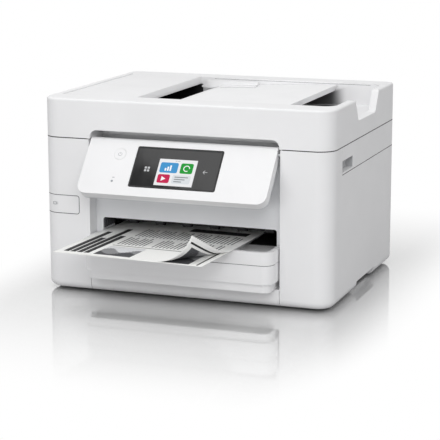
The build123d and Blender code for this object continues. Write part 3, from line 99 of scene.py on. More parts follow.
# The feeder's paper path, as outlines over x and height, with dark painted shade where it lies in shadow
BED_TOP = (
    (-190.5, 254.0), (-190.5, 230.0), (-184.0, 226.0), (-62.0, 225.8), (-40.0, 225.5), (105.0, 232.8),
    (145.0, 234.7),
)
BED_UNDER = (
    (-191.5, 254.0), (-191.5, 229.5), (-184.5, 225.0), (-62.0, 224.8), (-40.0, 224.5), (105.0, 231.8),
    (145.0, 233.7),
)
BED_D = (43.0, 284.0)
BED_WALL = ((-190.0, 226.5), (-78.0, 226.5), (-78.0, 255.5), (-190.0, 255.5))
BED_WALL_T = 1.0
BED_RIB = ((-182.0, 225.5), (-64.0, 225.5), (-66.0, 226.6), (-180.0, 226.8))
BED_RIB_PITCH = 18.0
BED_RIB_T = 1.6
# A dark sheet on the well's rear wall under the input tray, as painted shade
WELL_SHADE_OUTLINE = (
    (-58.0, 227.0), (105.0, 233.5), (145.0, 235.4), (145.0, 260.0), (100.0, 260.0), (-40.0, 248.5),
    (-58.0, 244.5),
)
WELL_SHADE_D = (284.95, 284.7)
WELL_REAR = 285.0
# A thin dark line of painted shadow along the well's rear wall
WELL_SEAM_SHADE = (-60.0, 263.5, 178.0, 264.1)

# Where the painted shade in the paper path turns paler, in metres: along x in the dark, then by x and by
# height
SHADE_FADE_DEEP = (0.03, 0.11)
SHADE_FADE_SIDE = (0.118, 0.144)
SHADE_FADE_HEIGHT = (0.249, 0.26)

# The throat behind the paper exit, and the output tray's floor, both darkened with painted shade
EXIT_HALF = 124.8
EXIT_D = (22.8, 59.5)
EXIT_Z = (86.8, 101.9)
EXIT_TOP = 102.3
EXIT_CHEEK_T = 0.5
EXIT_RIB_INSET = (0.3, 1.5)
EXIT_RIB_START = 2.0
EXIT_RIB_PITCH = 6.4
EXIT_RIB_W = 2.2
TRAY_RIBS = (-85.0, -45.0, -5.0, 35.0, 70.0)
TRAY_HALF = 119.3
TRAY_FLOOR = 70.12
# Dark strips of painted shade on the output tray's floor, behind the exit
TRAY_SHADE_T = 0.5
TRAY_SHADE_D = (62.0, 198.0)
TRAY_SHADE_GAP = 1.5

# The two rear sockets: insets of the shell, its hole, the dark wall and the room in it
SOCKET_X = (176.0, 190.0)
SOCKET_Z = {"lower": (64.0, 79.0), "upper": (84.0, 98.0)}
SOCKET_INSETS = (0.3, 2.4, 2.55, 3.1)
SOCKET_FLOOR_D = 311.05
SOCKET_SHELL_D = 318.95
SOCKET_FACE_D = 319.4
SOCKET_R = 0.5
SOCKET_T = 0.5
TONGUE_HALF = (2.0, 1.4)
TONGUE_L = 6.0

# Painted shade in the seams' gaps, and the edge of the cassette front
SEAM_SHADE_INSET = (-0.03, 2.4)
LID_SHADE_X = 138.0
LID_SHADE_Z = (212.05, 213.3)
LID_HINGE_X = (98.0, 122.0)
UNIT_SHADE_D = 49.3
UNIT_SHADE_Z = (175.1, 176.05)
UNIT_HINGE_X = (138.0, 162.0)
LIP_HALF = 133.5
LIP_REACH = -30.0
LIP_R = 14.0
LIP_END = -15.0
LIP_SHADE_Z = (63.95, 64.55)

# Painted shade in the finger recesses, given on the right and mirrored on the left
GRIP_X = (195.06, 204.5)
GRIP_D = (49.2, 98.9)
GRIP_Z = (178.7, 193.93)
GRIP_T = 0.4

# The front USB door, which wraps round the left pillar's corner: the painted shade in its gap, and its sign
DOOR_X = 151.0
DOOR_Z = (108.0, 133.5)
DOOR_R = 3.5
DOOR_ROUND = 65.0
DOOR_STEP = 1.5
DOOR_ARC_STEPS = 8
DOOR_SHADE_INSETS = (-0.25, 0.6)
DOOR_SHADE_OUT = (0.02, -0.8)
PORT_FRAME = (-190.1, 119.65, -185.0, 123.55)
PORT_FRAME_R = 0.75
PORT_HOLE = (-189.5, 120.25, -185.6, 122.95)
PORT_HOLE_R = 0.15
PORT_PRONGS = ((-185.0, 122.65, -182.6, 122.65), (-185.0, 120.55, -182.6, 120.55))
PORT_PRONG_W = 0.6

# The tilted control panel: its own axes from its hinge, and the heights of its face and of its glass
PANEL_TILT = math.radians(40.0)
PANEL_ORIGIN = Vector((0.0, -95.5, 205.0))
PANEL_UP = Vector((0.0, math.sin(PANEL_TILT), math.cos(PANEL_TILT)))
PANEL_OUT = Vector((0.0, -math.cos(PANEL_TILT), math.sin(PANEL_TILT)))
PANEL_TOP = 8.0
GLASS_TOP = 8.1
PRINT_T = 0.05

# The menu on the display, over the panel's axes
TILE_R = 2.4
TILES = {
    "blue": (-22.5, -41.0, 2.5, -25.5),
    "green": (6.0, -41.0, 23.5, -25.5),
    "red": (-22.5, -56.5, -5.5, -43.5),
    "pale": (-2.0, -56.5, 23.5, -43.5),
}
SIGN_COUNT = 3
BAR_AT = (-15.5, -38.0)
BAR_W = 2.2
BAR_TALL = 4.0
BAR_GROWTH = 2.2
BAR_PITCH = 3.4
BAR_R = 0.4
LOOP_AT = (14.7, -33.2)
LOOP_R = 4.0
LOOP_W = 1.2
LOOP_TURN = (0, 300)
PLAY_SIGN = ((-17.0, -53.5), (-11.0, -50.0), (-17.0, -46.5))
LINE_AT = (1.0, -47.3)
LINE_W = 1.2
LINE_PITCH = 3.4
LINE_END = 20.0
LINE_SHORTER = 4.0
LINE_R = 0.5
DOT_AT = (-2.5, -22.9)
DOT_PITCH = 2.6
DOT_R = 0.6
DOT_TURN = (0, 340)
DOT_STEPS = 12

# Signs on the black glass, the button and the panel's face, over the panel's axes
GLASS_EDGE = (-60.1, -64.8, 60.1, -4.0)
GLASS_EDGE_R = 2.2
GLASS_FREE = (-58.4, -63.1, 58.4, -6.4)
GLASS_FREE_R = 1.4
MENU_AT = (-40.2, -37.3)
MENU_STEP = 2.1
MENU_HALF = 1.5
MENU_R = 0.5
BACK_ARROW = ((38.6, -37.0, 44.4, -37.0), (38.4, -37.1, 41.0, -34.4), (38.4, -36.9, 41.0, -39.6))
BACK_ARROW_W = 0.7
STANDBY_AT = (-83.8, -17.2)
STANDBY_R = 2.5
STANDBY_W = 0.6
STANDBY_TURN = (125, 415)
STANDBY_BAR = (0.4, 3.3)
LAMP_DASH = (-86.0, -53.4, -82.4, -52.4)
LAMP_DASH_R = 0.45

# The printed pages: A4, lying askew on the output tray's ribs, the top one with a corner rolled up
PAGE_W = 210.0
PAGE_L = 297.0
PAGE_SKEW = math.radians(3.2)
PAGE_CORNER = Vector((77.5, -234.5, 83.7))
PAGE_T = 0.1
INK_T = 0.03
PAGE_STEP = 3.0
SLOPE_STEP = 0.2
TOP_SHIFT = (-0.4, 0.6)
UNDER_SHIFT = (-0.4, 0.0)
TOP_HEIGHT = 0.26
UNDER_HEIGHT = 0.06
CURL_APEX = (54.0, 162.0)
CURL_START = -67.0
CURL_HALF_ANGLE = 0.19
WAVE_HEIGHT = 0.5
WAVE_X = 31.0
WAVE_Y = 47.0
WAVE_REACH = 120.0

# The print: boxes of left, front, right and rear, and text of left, front, line count and lengths
CHART_AT = (10.0, 10.0)
CHART_PITCH = 9.6
CHART_BAR_W = 7.6
CHART_LENGTHS = (126.0, 88.0, 150.0, 108.0)
RULES = [(54.0, 63.0, 200.0, 65.0), (112.0, 178.0, 196.0, 196.0)]
SIDE_RULES = [(117.0, 4.0, 119.5, 78.0), (200.5, 4.0, 203.0, 78.0)]
TEXT_PITCH = 5.2
TEXT_W = 1.8
TEXT_BLOCKS = (
    (56.0, 72.0, 8, (44.0, 40.0, 45.0, 31.0)),
    (106.0, 72.0, 8, (38.0, 44.0, 42.0, 36.0, 22.0)),
    (156.0, 72.0, 8, (45.0, 41.0, 28.0)),
    (56.0, 124.0, 28, (46.0, 44.0, 40.0, 45.0, 29.0)),
)
TOP_PICTURE = (54.0, 8.0, 106.0, 58.0)
BACK_PICTURE = (124.0, 10.0, 197.0, 66.0)
UNDER_PICTURE = (112.0, 5.0, 190.0, 74.0)

# Skylines of a picture: height and swell as shares of its depth, turns across it, and the angle at its left
FAR_HILLS = (0.58, 0.18, 1.3, 0.4)
NEAR_HILLS = (0.30, 0.16, 1.1, 2.6)

# The foam pad's rings: inset, and height over its top for the upper ones or over its underside for the lower
PAD_UPPER = ((0.2, 0.0), (0.0, -1.0))
PAD_LOWER = ((0.0, 2.4), (0.5, 1.1), (1.6, 0.35), (3.6, 0.08), (7.0, 0.0))
PAD_R = 5.0

# Settings of the materials, with the grain's depth in metres
SATIN_SPECULAR = 0.32
FINE_GRAIN = 3200.0
FINE_DEPTH = 0.000015
GLASS_SPECULAR = 0.24
LIT_ROUGH = 0.4
LIT_SPECULAR = 0.15
GLASS_IOR = 1.5
PORE_SPAN = (0.0, 0.6)
BOARD_SCALE = 160.0
TRACK_WIDTH = 0.03


def srgb(red, green, blue):
    """A colour given in 0 to 255 steps, as linear values."""

    def linear(step):
        level = step / 255.0
        return level / 12.92 if level <= 0.04045 else ((level + 0.055) / 1.055) ** 2.4

    return (linear(red), linear(green), linear(blue), 1.0)


def scaled(colour, factor):
    """A colour made darker or lighter."""
    return tuple(min(1.0, c * factor) for c in colour[:3]) + (1.0,)


# Node helpers
def new_material(name):
    """A material with its tree, its shader and the place on the machine in metres."""
    mat = bpy.data.materials.new(name)
    mat.use_nodes = True
    tree = mat.node_tree
    shader = tree.nodes["Principled BSDF"]
    place = tree.nodes.new("ShaderNodeTexCoord").outputs["Object"]
    return mat, tree, shader, place


def at_place(tree, place, kind, output, **settings):
    """A node that reads a place, with its settings by the names of its inputs."""
    node = tree.nodes.new(kind)
    for name, value in settings.items():
        node.inputs[name].default_value = value
    tree.links.new(place, node.inputs["Vector"])
    return node.outputs[output]


def stretched(tree, place, scale):
    """The place with each axis scaled."""
    return at_place(tree, place, "ShaderNodeMapping", "Vector", Scale=scale)


def noise(tree, place, scale, detail=2.0):
    """Cloudy noise, mostly between 0.3 and 0.7."""
    return at_place(tree, place, "ShaderNodeTexNoise", "Fac", Scale=scale, Detail=detail)


def cells(tree, place, scale):
    """Distance from the middles of irregular cells."""
    return at_place(tree, place, "ShaderNodeTexVoronoi", "Distance", Scale=scale)


def waves(tree, place, scale):
    """Even waves along x."""
    return at_place(tree, place, "ShaderNodeTexWave", "Fac", Scale=scale)


def spread(tree, value, result=(0.0, 1.0), span=(0.3, 0.7), smooth=False):
    """Spreads a value's span over a result."""
    node = tree.nodes.new("ShaderNodeMapRange")
    if smooth:
        node.interpolation_type = "SMOOTHSTEP"
    for name, level in zip(("From Min", "From Max", "To Min", "To Max"), span + result):
        node.inputs[name].default_value = level
    tree.links.new(value, node.inputs["Value"])
    return node.outputs["Result"]


def combined(tree, operation, first, second):
    """One Math node on two sockets."""
    node = tree.nodes.new("ShaderNodeMath")
    node.operation = operation
    tree.links.new(first, node.inputs[0])
    tree.links.new(second, node.inputs[1])
    return node.outputs[0]


def blended(tree, value, dark, light):
    """A colour between two others, each given as a colour or a socket."""
    node = tree.nodes.new("ShaderNodeMix")
    node.data_type = "RGBA"
    for name, colour in (("A", dark), ("B", light)):
        socket = next(s for s in node.inputs if s.name == name and s.type == "RGBA")
        if isinstance(colour, bpy.types.NodeSocket):
            tree.links.new(colour, socket)
        else:
            socket.default_value = colour
    tree.links.new(value, node.inputs["Factor"])
    return next(s for s in node.outputs if s.type == "RGBA")


def tinted(tree, shader, value, dark, light):
    """Gives the shader a colour that goes from dark to light with a value."""
    tree.links.new(blended(tree, value, dark, light), shader.inputs["Base Color"])


def roughened(tree, shader, value, rough, span=(0.3, 0.7)):
    """Gives the shader a roughness that a value spreads over a range."""
    tree.links.new(spread(tree, value, rough, span), shader.inputs["Roughness"])


def bumped(tree, shader, height, depth, strength=1.0):
    """Gives the shader a relief of some depth in metres."""
    node = tree.nodes.new("ShaderNodeBump")
    node.inputs["Strength"].default_value = strength
    node.inputs["Distance"].default_value = depth
    tree.links.new(height, node.inputs["Height"])
    tree.links.new(node.outputs["Normal"], shader.inputs["Normal"])


# Materials
def moulded_face(tree, shader, place, rough=(0.54, 0.66), grain=1900.0, depth=0.00003):
    """The face of a moulding: spark-eroded grain and a roughness that drifts a little."""
    shader.inputs["Specular IOR Level"].default_value = SATIN_SPECULAR
    roughened(tree, shader, noise(tree, place, scale=45.0, detail=3.0), rough)
    bumped(tree, shader, noise(tree, place, scale=grain, detail=3.0), depth)


def moulded(name, colour, tone=0.03, **face):
    """Moulded plastic with a cloudy tone, satin unless the face is given other settings."""
    mat, tree, shader, place = new_material(name)
    cloud = spread(tree, noise(tree, place, scale=14.0, detail=3.0))
    tinted(tree, shader, cloud, scaled(colour, 1.0 - tone), colour)
    moulded_face(tree, shader, place, **face)
    return mat


def faded_painted_shade(name, deep, middle, colour):
    """Painted shade on a paper path, from black at the rollers to the casing's own colour in the open well.
    """
    mat, tree, shader, place = new_material(name)
    axes = tree.nodes.new("ShaderNodeSeparateXYZ")
    tree.links.new(place, axes.inputs[0])
    dark = blended(tree, spread(tree, axes.outputs["X"], span=SHADE_FADE_DEEP), deep, middle)
    side = spread(tree, axes.outputs["X"], span=SHADE_FADE_SIDE, smooth=True)
    top = spread(tree, axes.outputs["Z"], span=SHADE_FADE_HEIGHT, smooth=True)
    tinted(tree, shader, combined(tree, "MAXIMUM", side, top), dark, colour)
    moulded_face(tree, shader, place)
    return mat


def polished(name, colour):
    """Glass painted on its back, with faint wiping marks in the roughness."""
    mat, tree, shader, place = new_material(name)
    shader.inputs["Specular IOR Level"].default_value = GLASS_SPECULAR
    wiped = noise(tree, stretched(tree, place, scale=(30.0, 8.0, 8.0)), scale=3.0, detail=4.0)
    roughened(tree, shader, wiped, rough=(0.05, 0.12))
    cloud = spread(tree, noise(tree, place, scale=20.0))
    tinted(tree, shader, cloud, scaled(colour, factor=0.9), colour)
    bumped(tree, shader, noise(tree, place, scale=60.0, detail=1.0), depth=0.00002, strength=0.3)
    return mat


def brushed(name, colour, rough=(0.24, 0.4), along=(4.0, 260.0, 260.0)):
    """Rolled sheet or turned steel with fine lines along one axis."""
    mat, tree, shader, place = new_material(name)
    shader.inputs["Metallic"].default_value = 1.0
    lines = noise(tree, stretched(tree, place, along), scale=9.0, detail=4.0)
    roughened(tree, shader, lines, rough)
    tinted(tree, shader, spread(tree, lines), scaled(colour, factor=0.88), colour)
    bumped(tree, shader, lines, depth=0.00002, strength=0.5)
    return mat


def rubbery(name, colour):
    """Soft matt rubber with a dusty, pitted face."""
    mat, tree, shader, place = new_material(name)
    dust = spread(tree, noise(tree, place, scale=220.0, detail=4.0))
    tinted(tree, shader, dust, colour, scaled(colour, factor=1.5))
    roughened(tree, shader, noise(tree, place, scale=90.0), rough=(0.62, 0.8))
    bumped(tree, shader, cells(tree, place, scale=2600.0), depth=0.00004)
    return mat


def clear(name, colour):
    """Clear pane with a faint tint and a trace of dust."""
    mat, tree, shader, place = new_material(name)
    shader.inputs["Transmission Weight"].default_value = 1.0
    shader.inputs["IOR"].default_value = GLASS_IOR
    dust = noise(tree, place, scale=70.0, detail=3.0)
    roughened(tree, shader, dust, rough=(0.02, 0.07))
    tinted(tree, shader, spread(tree, dust), scaled(colour, factor=0.97), colour)
    return mat


def lit(name, colour, strength):
    """A lit display surface, evenly bright but for its fine pixel rows."""
    mat, tree, shader, place = new_material(name)
    shader.inputs["Base Color"].default_value = scaled(colour, factor=0.05)
    shader.inputs["Roughness"].default_value = LIT_ROUGH
    shader.inputs["Specular IOR Level"].default_value = LIT_SPECULAR
    glow = blended(tree, waves(tree, place, scale=1500.0), scaled(colour, factor=0.95), colour)
    tree.links.new(glow, shader.inputs["Emission Color"])
    shader.inputs["Emission Strength"].default_value = strength
    return mat


def papery(name, colour):
    """Uncoated office paper: fibres in the tone and the surface."""
    mat, tree, shader, place = new_material(name)
    fibre = noise(tree, stretched(tree, place, scale=(1.0, 0.45, 1.0)), scale=900.0, detail=4.0)
    tinted(tree, shader, spread(tree, fibre), scaled(colour, factor=0.96), colour)
    roughened(tree, shader, fibre, rough=(0.75, 0.9))
    bumped(tree, shader, fibre, depth=0.00003, strength=0.6)
    return mat


def inked(name, colour):
    """Ink laid on paper or plastic, mottled where the surface takes it up."""
    mat, tree, shader, place = new_material(name)
    mottle = spread(tree, noise(tree, place, scale=650.0, detail=3.0))
    tinted(tree, shader, mottle, colour, scaled(colour, factor=1.25))
    roughened(tree, shader, mottle, rough=(0.6, 0.8))
    return mat


def foamed(name, colour):
    """Closed white foam with a skin of fine pores."""
    mat, tree, shader, place = new_material(name)
    pores = cells(tree, place, scale=900.0)
    tinted(tree, shader, spread(tree, pores, span=PORE_SPAN), scaled(colour, factor=0.93), colour)
    roughened(tree, shader, pores, rough=(0.9, 0.75), span=PORE_SPAN)
    bumped(tree, shader, pores, depth=0.0001, strength=0.7)
    return mat


def etched_board(name, mask, copper):
    """A circuit board: solder mask over tracks laid on a grid."""
    mat, tree, shader, place = new_material(name)
    tracks = tree.nodes.new("ShaderNodeTexBrick")
    tracks.inputs["Scale"].default_value = BOARD_SCALE
    tracks.inputs["Mortar Size"].default_value = TRACK_WIDTH
    tracks.inputs["Color1"].default_value = mask
    tracks.inputs["Color2"].default_value = scaled(mask, factor=0.8)
    tracks.inputs["Mortar"].default_value = copper
    tree.links.new(place, tracks.inputs["Vector"])
    tree.links.new(tracks.outputs["Color"], shader.inputs["Base Color"])
    roughened(tree, shader, noise(tree, place, scale=120.0), rough=(0.3, 0.45))
    bumped(tree, shader, tracks.outputs["Fac"], depth=0.00005, strength=0.6)
    return mat


def ribbed_belt(name, colour):
    """A toothed belt's cross ribs along its run."""
    mat, tree, shader, place = new_material(name)
    teeth = waves(tree, place, scale=160.0)
    tinted(tree, shader, teeth, scaled(colour, factor=0.6), scaled(colour, factor=1.4))
    roughened(tree, shader, noise(tree, place, scale=300.0), rough=(0.6, 0.8))
    bumped(tree, shader, teeth, depth=0.0003, strength=0.8)
    return mat


WHITE = srgb(238, 238, 239)
BRIGHT = srgb(243, 243, 244)
SOFT = srgb(231, 231, 232)
COOL = srgb(228, 229, 231)
SHADE = srgb(206, 208, 211)
# Black of the painted shade, and of the sockets' walls
SHADE_AND_SOCKET_INK = srgb(26, 26, 28)

# The finish of each of the record's slots
FINISH = {
    "frame_white": moulded("satin_frame", WHITE, grain=2300.0),
    "strip_white": moulded("satin_strip", WHITE, tone=0.02),
    "bezel_white": moulded("satin_bezel", COOL),
    "panel_white": moulded("fine_panel", SOFT, rough=(0.3, 0.4), grain=FINE_GRAIN, depth=FINE_DEPTH),
    "panel_grey": moulded("matt_panel_back", SHADE, rough=(0.5, 0.6)),
    "panel_black": polished("black_glass", srgb(16, 16, 17)),
    "screen": lit("display_white", srgb(240, 240, 242), strength=0.92),
    "lens": lit("lens_glow", srgb(225, 232, 238), strength=0.35),
    "button_white": moulded("fine_button", SOFT, rough=(0.28, 0.38), grain=FINE_GRAIN, depth=FINE_DEPTH),
    "cassette_grey": moulded("matt_cassette", srgb(92, 94, 98), rough=(0.5, 0.62)),
    "paper": papery("page_stock", srgb(244, 244, 242)),
    "feeder_tray": moulded("satin_feeder_tray", BRIGHT),
    "scan_glass": clear("scanner_glass", (0.93, 0.97, 0.95, 1.0)),
    "mat_white": foamed("white_foam", srgb(244, 244, 243)),
    "plate_white": moulded("matt_plate", WHITE, rough=(0.5, 0.6)),
    "base_grey": moulded("matt_base", srgb(120, 122, 126), rough=(0.5, 0.62)),
    "works_black": moulded("matt_works", srgb(30, 30, 32), rough=(0.45, 0.6), tone=0.15),
    "works_steel": brushed("zinc_steel", srgb(196, 198, 200)),
    "motor_steel": brushed("motor_case", srgb(176, 178, 180), along=(160.0, 8.0, 160.0)),
    "foot_rubber": rubbery("grey_foot_rubber", srgb(52, 53, 56)),
    "roller_rubber": rubbery("roller_rubber", srgb(58, 58, 60)),
    "gear_white": moulded("gear_resin", srgb(226, 224, 214), rough=(0.3, 0.42)),
    "belt_rubber": ribbed_belt("toothed_belt", srgb(34, 34, 36)),
    "ink_case": moulded("cartridge_case", srgb(44, 45, 48), rough=(0.35, 0.5), tone=0.1),
    "board_green": etched_board("circuit_board", srgb(24, 84, 52), srgb(92, 132, 74)),
    "supply_metal": brushed("supply_can", srgb(188, 190, 192), rough=(0.3, 0.5)),
}
for part in ("casing", "tray", "cassette", "feeder", "guide"):
    FINISH[f"{part}_white"] = moulded(f"satin_{part}", WHITE)

# Inks from the lowest layer to the highest, tiles of the menu, and finishes of the added pieces, the dark
# ones mostly painted shade
INKS = {
    "pale": inked("ink_pale", srgb(206, 207, 209)),
    "mid": inked("ink_mid", srgb(134, 135, 137)),
    "dark": inked("ink_dark", srgb(66, 67, 70)),
    "black": inked("ink_black", srgb(20, 20, 22)),
}
TILE_GLOW = {
    "blue": lit("tile_blue", srgb(62, 148, 205), strength=0.95),
    "green": lit("tile_green", srgb(8, 150, 44), strength=0.95),
    "red": lit("tile_red", srgb(196, 22, 76), strength=0.95),
    "pale": lit("tile_pale", srgb(222, 226, 230), strength=0.92),
}
SIGN_WHITE = lit("mark_white", srgb(250, 250, 251), strength=0.95)
SIGN_GREY = lit("mark_grey", srgb(120, 124, 130), strength=0.9)
KEY_WHITE = lit("key_mark", srgb(222, 224, 226), strength=0.7)
MARK_GREY = inked("pad_print_grey", srgb(150, 152, 155))
BORDER_BLACK = rubbery("border_black", srgb(20, 20, 21))
# Painted shade: the dark colours below stand in for shadow in the paper paths, the exit's throat, the finger
# recesses and the gaps round the door, the seams and the cassette front; the black also colours the sockets'
# walls
SHADE_AND_SOCKET_BLACK = moulded("matt_black_shade_and_socket", SHADE_AND_SOCKET_INK, rough=(0.55, 0.7), tone=0.15)
FADED_SHADE = faded_painted_shade("faded_painted_shade", SHADE_AND_SOCKET_INK, srgb(88, 88, 90), WHITE)
EXIT_SHADE_GREY = moulded("painted_shade_exit", srgb(74, 75, 78), rough=(0.5, 0.65), tone=0.1)
GRIP_SHADE = moulded("matt_grip", srgb(186, 187, 189))
GRIP_DEEP_SHADE = moulded("painted_shade_grip_roof", srgb(146, 147, 149))
DOOR_SHADE_GREY = rubbery("painted_shade_door_gap", srgb(56, 57, 59))
SEAM_SHADE_GREY = rubbery("seam_shadow", srgb(128, 129, 131))


def dress_nodes():
    """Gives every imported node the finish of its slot."""
    for obj in frame["nodes"].values():
        for holder in obj.material_slots:
            holder.material = FINISH[holder.material.name.split(".")[0]]


# Outlines and places
def rounded(x0, y0, x1, y1, radius, steps=6):
    """Outline of a rounded rectangle, counterclockwise."""
    points = []
    corners = ((x1 - radius, y1 - radius), (x0 + radius, y1 - radius),
               (x0 + radius, y0 + radius), (x1 - radius, y0 + radius))
    for turn, (cx, cy) in enumerate(corners):
        for i in range(steps + 1):
            angle = math.pi / 2 * (turn + i / steps)
            points.append((cx + radius * math.cos(angle), cy + radius * math.sin(angle)))
    return points


def arc(cx, cy, radius, start, end, steps=28):
    """Points of an arc between two angles in degrees."""
    points = []
    for i in range(steps + 1):
        angle = math.radians(start + (end - start) * i / steps)
        points.append((cx + radius * math.cos(angle), cy + radius * math.sin(angle)))
    return points


def band(cx, cy, radius, width, start, end):
    """Outline of a curved stroke."""
    return arc(cx, cy, radius + width / 2, start, end) + arc(cx, cy, radius - width / 2, end, start)


def stroke(x0, y0, x1, y1, width):
    """Outline of a straight stroke."""
    along = Vector((x1 - x0, y1 - y0)).normalized()
    side = Vector((-along.y, along.x)) * (width / 2)
    first = Vector((x0, y0))
    last = Vector((x1, y1))
    return [tuple(first - side), tuple(last - side), tuple(last + side), tuple(first + side)]


def box_outline(x0, y0, x1, y1):
    """Outline of a rectangle, counterclockwise."""
    return ((x0, y0), (x1, y0), (x1, y1), (x0, y1))


def mirrored(outline, side):
    """An outline of the right side, or its mirror image on the left."""
    return outline if side > 0 else [(-x, y) for x, y in reversed(outline)]


def on_panel(x, y, out):
    """A point of the panel: x to the right, y up it from its hinge, out off its face."""
    return PANEL_ORIGIN + Vector((x, 0.0, 0.0)) + PANEL_UP * y + PANEL_OUT * out


def at_depth(x, z, depth):
    """A point of an upright outline."""
    return Vector((x, FRONT + depth, z))


def at_height(x, depth, z):
    """A point of a level outline."""
    return Vector((x, FRONT + depth, z))


def round_corner(u, z, out):
    """A point of the left pillar: u runs from the door's right edge round the front corner."""
    flat = HALF_W - FRONT_R - DOOR_X
    if u < flat:
        return Vector((-DOOR_X - u, FRONT - out, z))
    turn = (u - flat) / FRONT_R
    reach = FRONT_R + out
    return Vector((FRONT_R - HALF_W - reach * math.sin(turn), FRONT + FRONT_R - reach * math.cos(turn), z))


# Mesh helpers
def placed(name, verts, faces, material, smooth=False):
    """A mesh object from points in millimetres."""
    mesh = bpy.data.meshes.new(name)
    mesh.from_pydata([Vector(v) * MM for v in verts], [], faces)
    mesh.materials.append(material)
    mesh.polygons.foreach_set("use_smooth", [smooth] * len(mesh.polygons))
    mesh.update()
    obj = bpy.data.objects.new(name, mesh)
    bpy.context.scene.collection.objects.link(obj)
    return obj


def prisms(name, outlines, levels, spot, material, body):
    """Closed prisms between two levels, one to each outline. spot places an outline's point at a level."""
    verts = []
    faces = []
    for outline in outlines:
        first = len(verts)
        count = len(outline)
        for level in levels:
            verts += [spot(x, y, level) for x, y in outline]
        faces.append([first + count + i for i in range(count)])
        faces.append([first + i for i in reversed(range(count))])
        for i in range(count):
            j = (i + 1) % count
            faces.append((first + i, first + j, first + count + j, first + count + i))
    obj = placed(name, verts, faces, material)
    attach(obj, body)


def ring(name, outer, inner, levels, spot, material, body, closed=True):
    """A ring, or a strip with two ends, between two outlines of equal count and two levels."""
    count = len(outer)
    verts = []
    faces = []
    for level in levels:
        for outline in (outer, inner):
            verts += [spot(x, y, level) for x, y in outline]
    for i in range(count if closed else count - 1):
        j = (i + 1) % count
        faces.append((i, count + i, count + j, j))
        faces.append((2 * count + i, 2 * count + j, 3 * count + j, 3 * count + i))
        faces.append((i, j, 2 * count + j, 2 * count + i))
        faces.append((count + j, count + i, 3 * count + i, 3 * count + j))
    if not closed:
        last = count - 1
        faces.append((0, 2 * count, 3 * count, count))
        faces.append((last, count + last, 3 * count + last, 2 * count + last))
    obj = placed(name, verts, faces, material)
    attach(obj, body)


def dark_fill(name, outlines, levels, spot, body, material=SHADE_AND_SOCKET_BLACK):
    """Prisms in a dark colour, black unless another is given: painted shade, and the sockets' floors."""
    prisms(name, outlines, levels, spot, material, body)


# Marks on the control panel
def panel_print(name, outlines, base, material, body="control_panel"):
    """Thin raised marks on the control panel."""
    prisms(name, outlines, (base, base + PRINT_T), on_panel, material, body)


def screen_marks():
    """A generic menu: three bright tiles and a pale list, with plain signs."""
    high = PANEL_TOP + PRINT_T
    for tone, box in TILES.items():
        panel_print(f"screen_tile_{tone}", [rounded(*box, TILE_R)], PANEL_TOP, TILE_GLOW[tone])
    signs = []
    lines = []
    dots = []
    for i in range(SIGN_COUNT):
        x = BAR_AT[0] + BAR_PITCH * i
        signs.append(rounded(x, BAR_AT[1], x + BAR_W, BAR_AT[1] + BAR_TALL + BAR_GROWTH * i, BAR_R))
        y = LINE_AT[1] - LINE_PITCH * i
        lines.append(rounded(LINE_AT[0], y, LINE_END - LINE_SHORTER * i, y + LINE_W, LINE_R))
        dots.append(arc(DOT_AT[0] + DOT_PITCH * i, DOT_AT[1], DOT_R, *DOT_TURN, DOT_STEPS))
    signs.append(band(*LOOP_AT, LOOP_R, LOOP_W, *LOOP_TURN))
    signs.append(PLAY_SIGN)
    panel_print("screen_signs", signs, high, SIGN_WHITE)
    panel_print("screen_lines", lines, high, SIGN_GREY)
    panel_print("screen_dots", dots, PANEL_TOP, SIGN_GREY)


def key_marks():
    """Signs and a dull margin on the black glass, the standby sign on its button, and a dash by the lamp."""
    menu = []
    for i in (-1, 1):
        for j in (-1, 1):
            x = MENU_AT[0] + MENU_STEP * i
            y = MENU_AT[1] + MENU_STEP * j
            menu.append(rounded(x - MENU_HALF, y - MENU_HALF, x + MENU_HALF, y + MENU_HALF, MENU_R))
    panel_print("key_menu", menu, GLASS_TOP, KEY_WHITE)
    arrow = [stroke(*line, BACK_ARROW_W) for line in BACK_ARROW]
    panel_print("key_back", arrow, GLASS_TOP, KEY_WHITE)
    ring("glass_border", rounded(*GLASS_EDGE, GLASS_EDGE_R), rounded(*GLASS_FREE, GLASS_FREE_R),
         (GLASS_TOP, GLASS_TOP + PRINT_T), on_panel, BORDER_BLACK, "control_panel")
    x, y = STANDBY_AT
    standby = [band(x, y, STANDBY_R, STANDBY_W, *STANDBY_TURN),
               stroke(x, y + STANDBY_BAR[0], x, y + STANDBY_BAR[1], STANDBY_W)]
    panel_print("standby_sign", standby, GLASS_TOP, MARK_GREY, "power_button")
    panel_print("lamp_dash", [rounded(*LAMP_DASH, LAMP_DASH_R)], PANEL_TOP, MARK_GREY)


# Printed pages
def curled(x, y):
    """A flat page point, from its front right corner, with the corner rolled up on a cone, and its lift."""
    apex = Vector(CURL_APEX)
    start = (Vector((CURL_START, 0.0)) - apex).normalized()
    side = Vector((-start.y, start.x))
    arm = Vector((x, y)) - apex
    turn = math.atan2(arm.dot(side), arm.dot(start))
    if turn <= 0.0:
        return Vector((x, y)), 0.0
    cos_b = math.cos(CURL_HALF_ANGLE)
    sin_b = math.sin(CURL_HALF_ANGLE)
    phi = turn / sin_b
    flat = start * (cos_b * cos_b + sin_b * sin_b * math.cos(phi)) + side * (sin_b * math.sin(phi))
    return apex + flat * arm.length, arm.length * sin_b * cos_b * (1.0 - math.cos(phi))


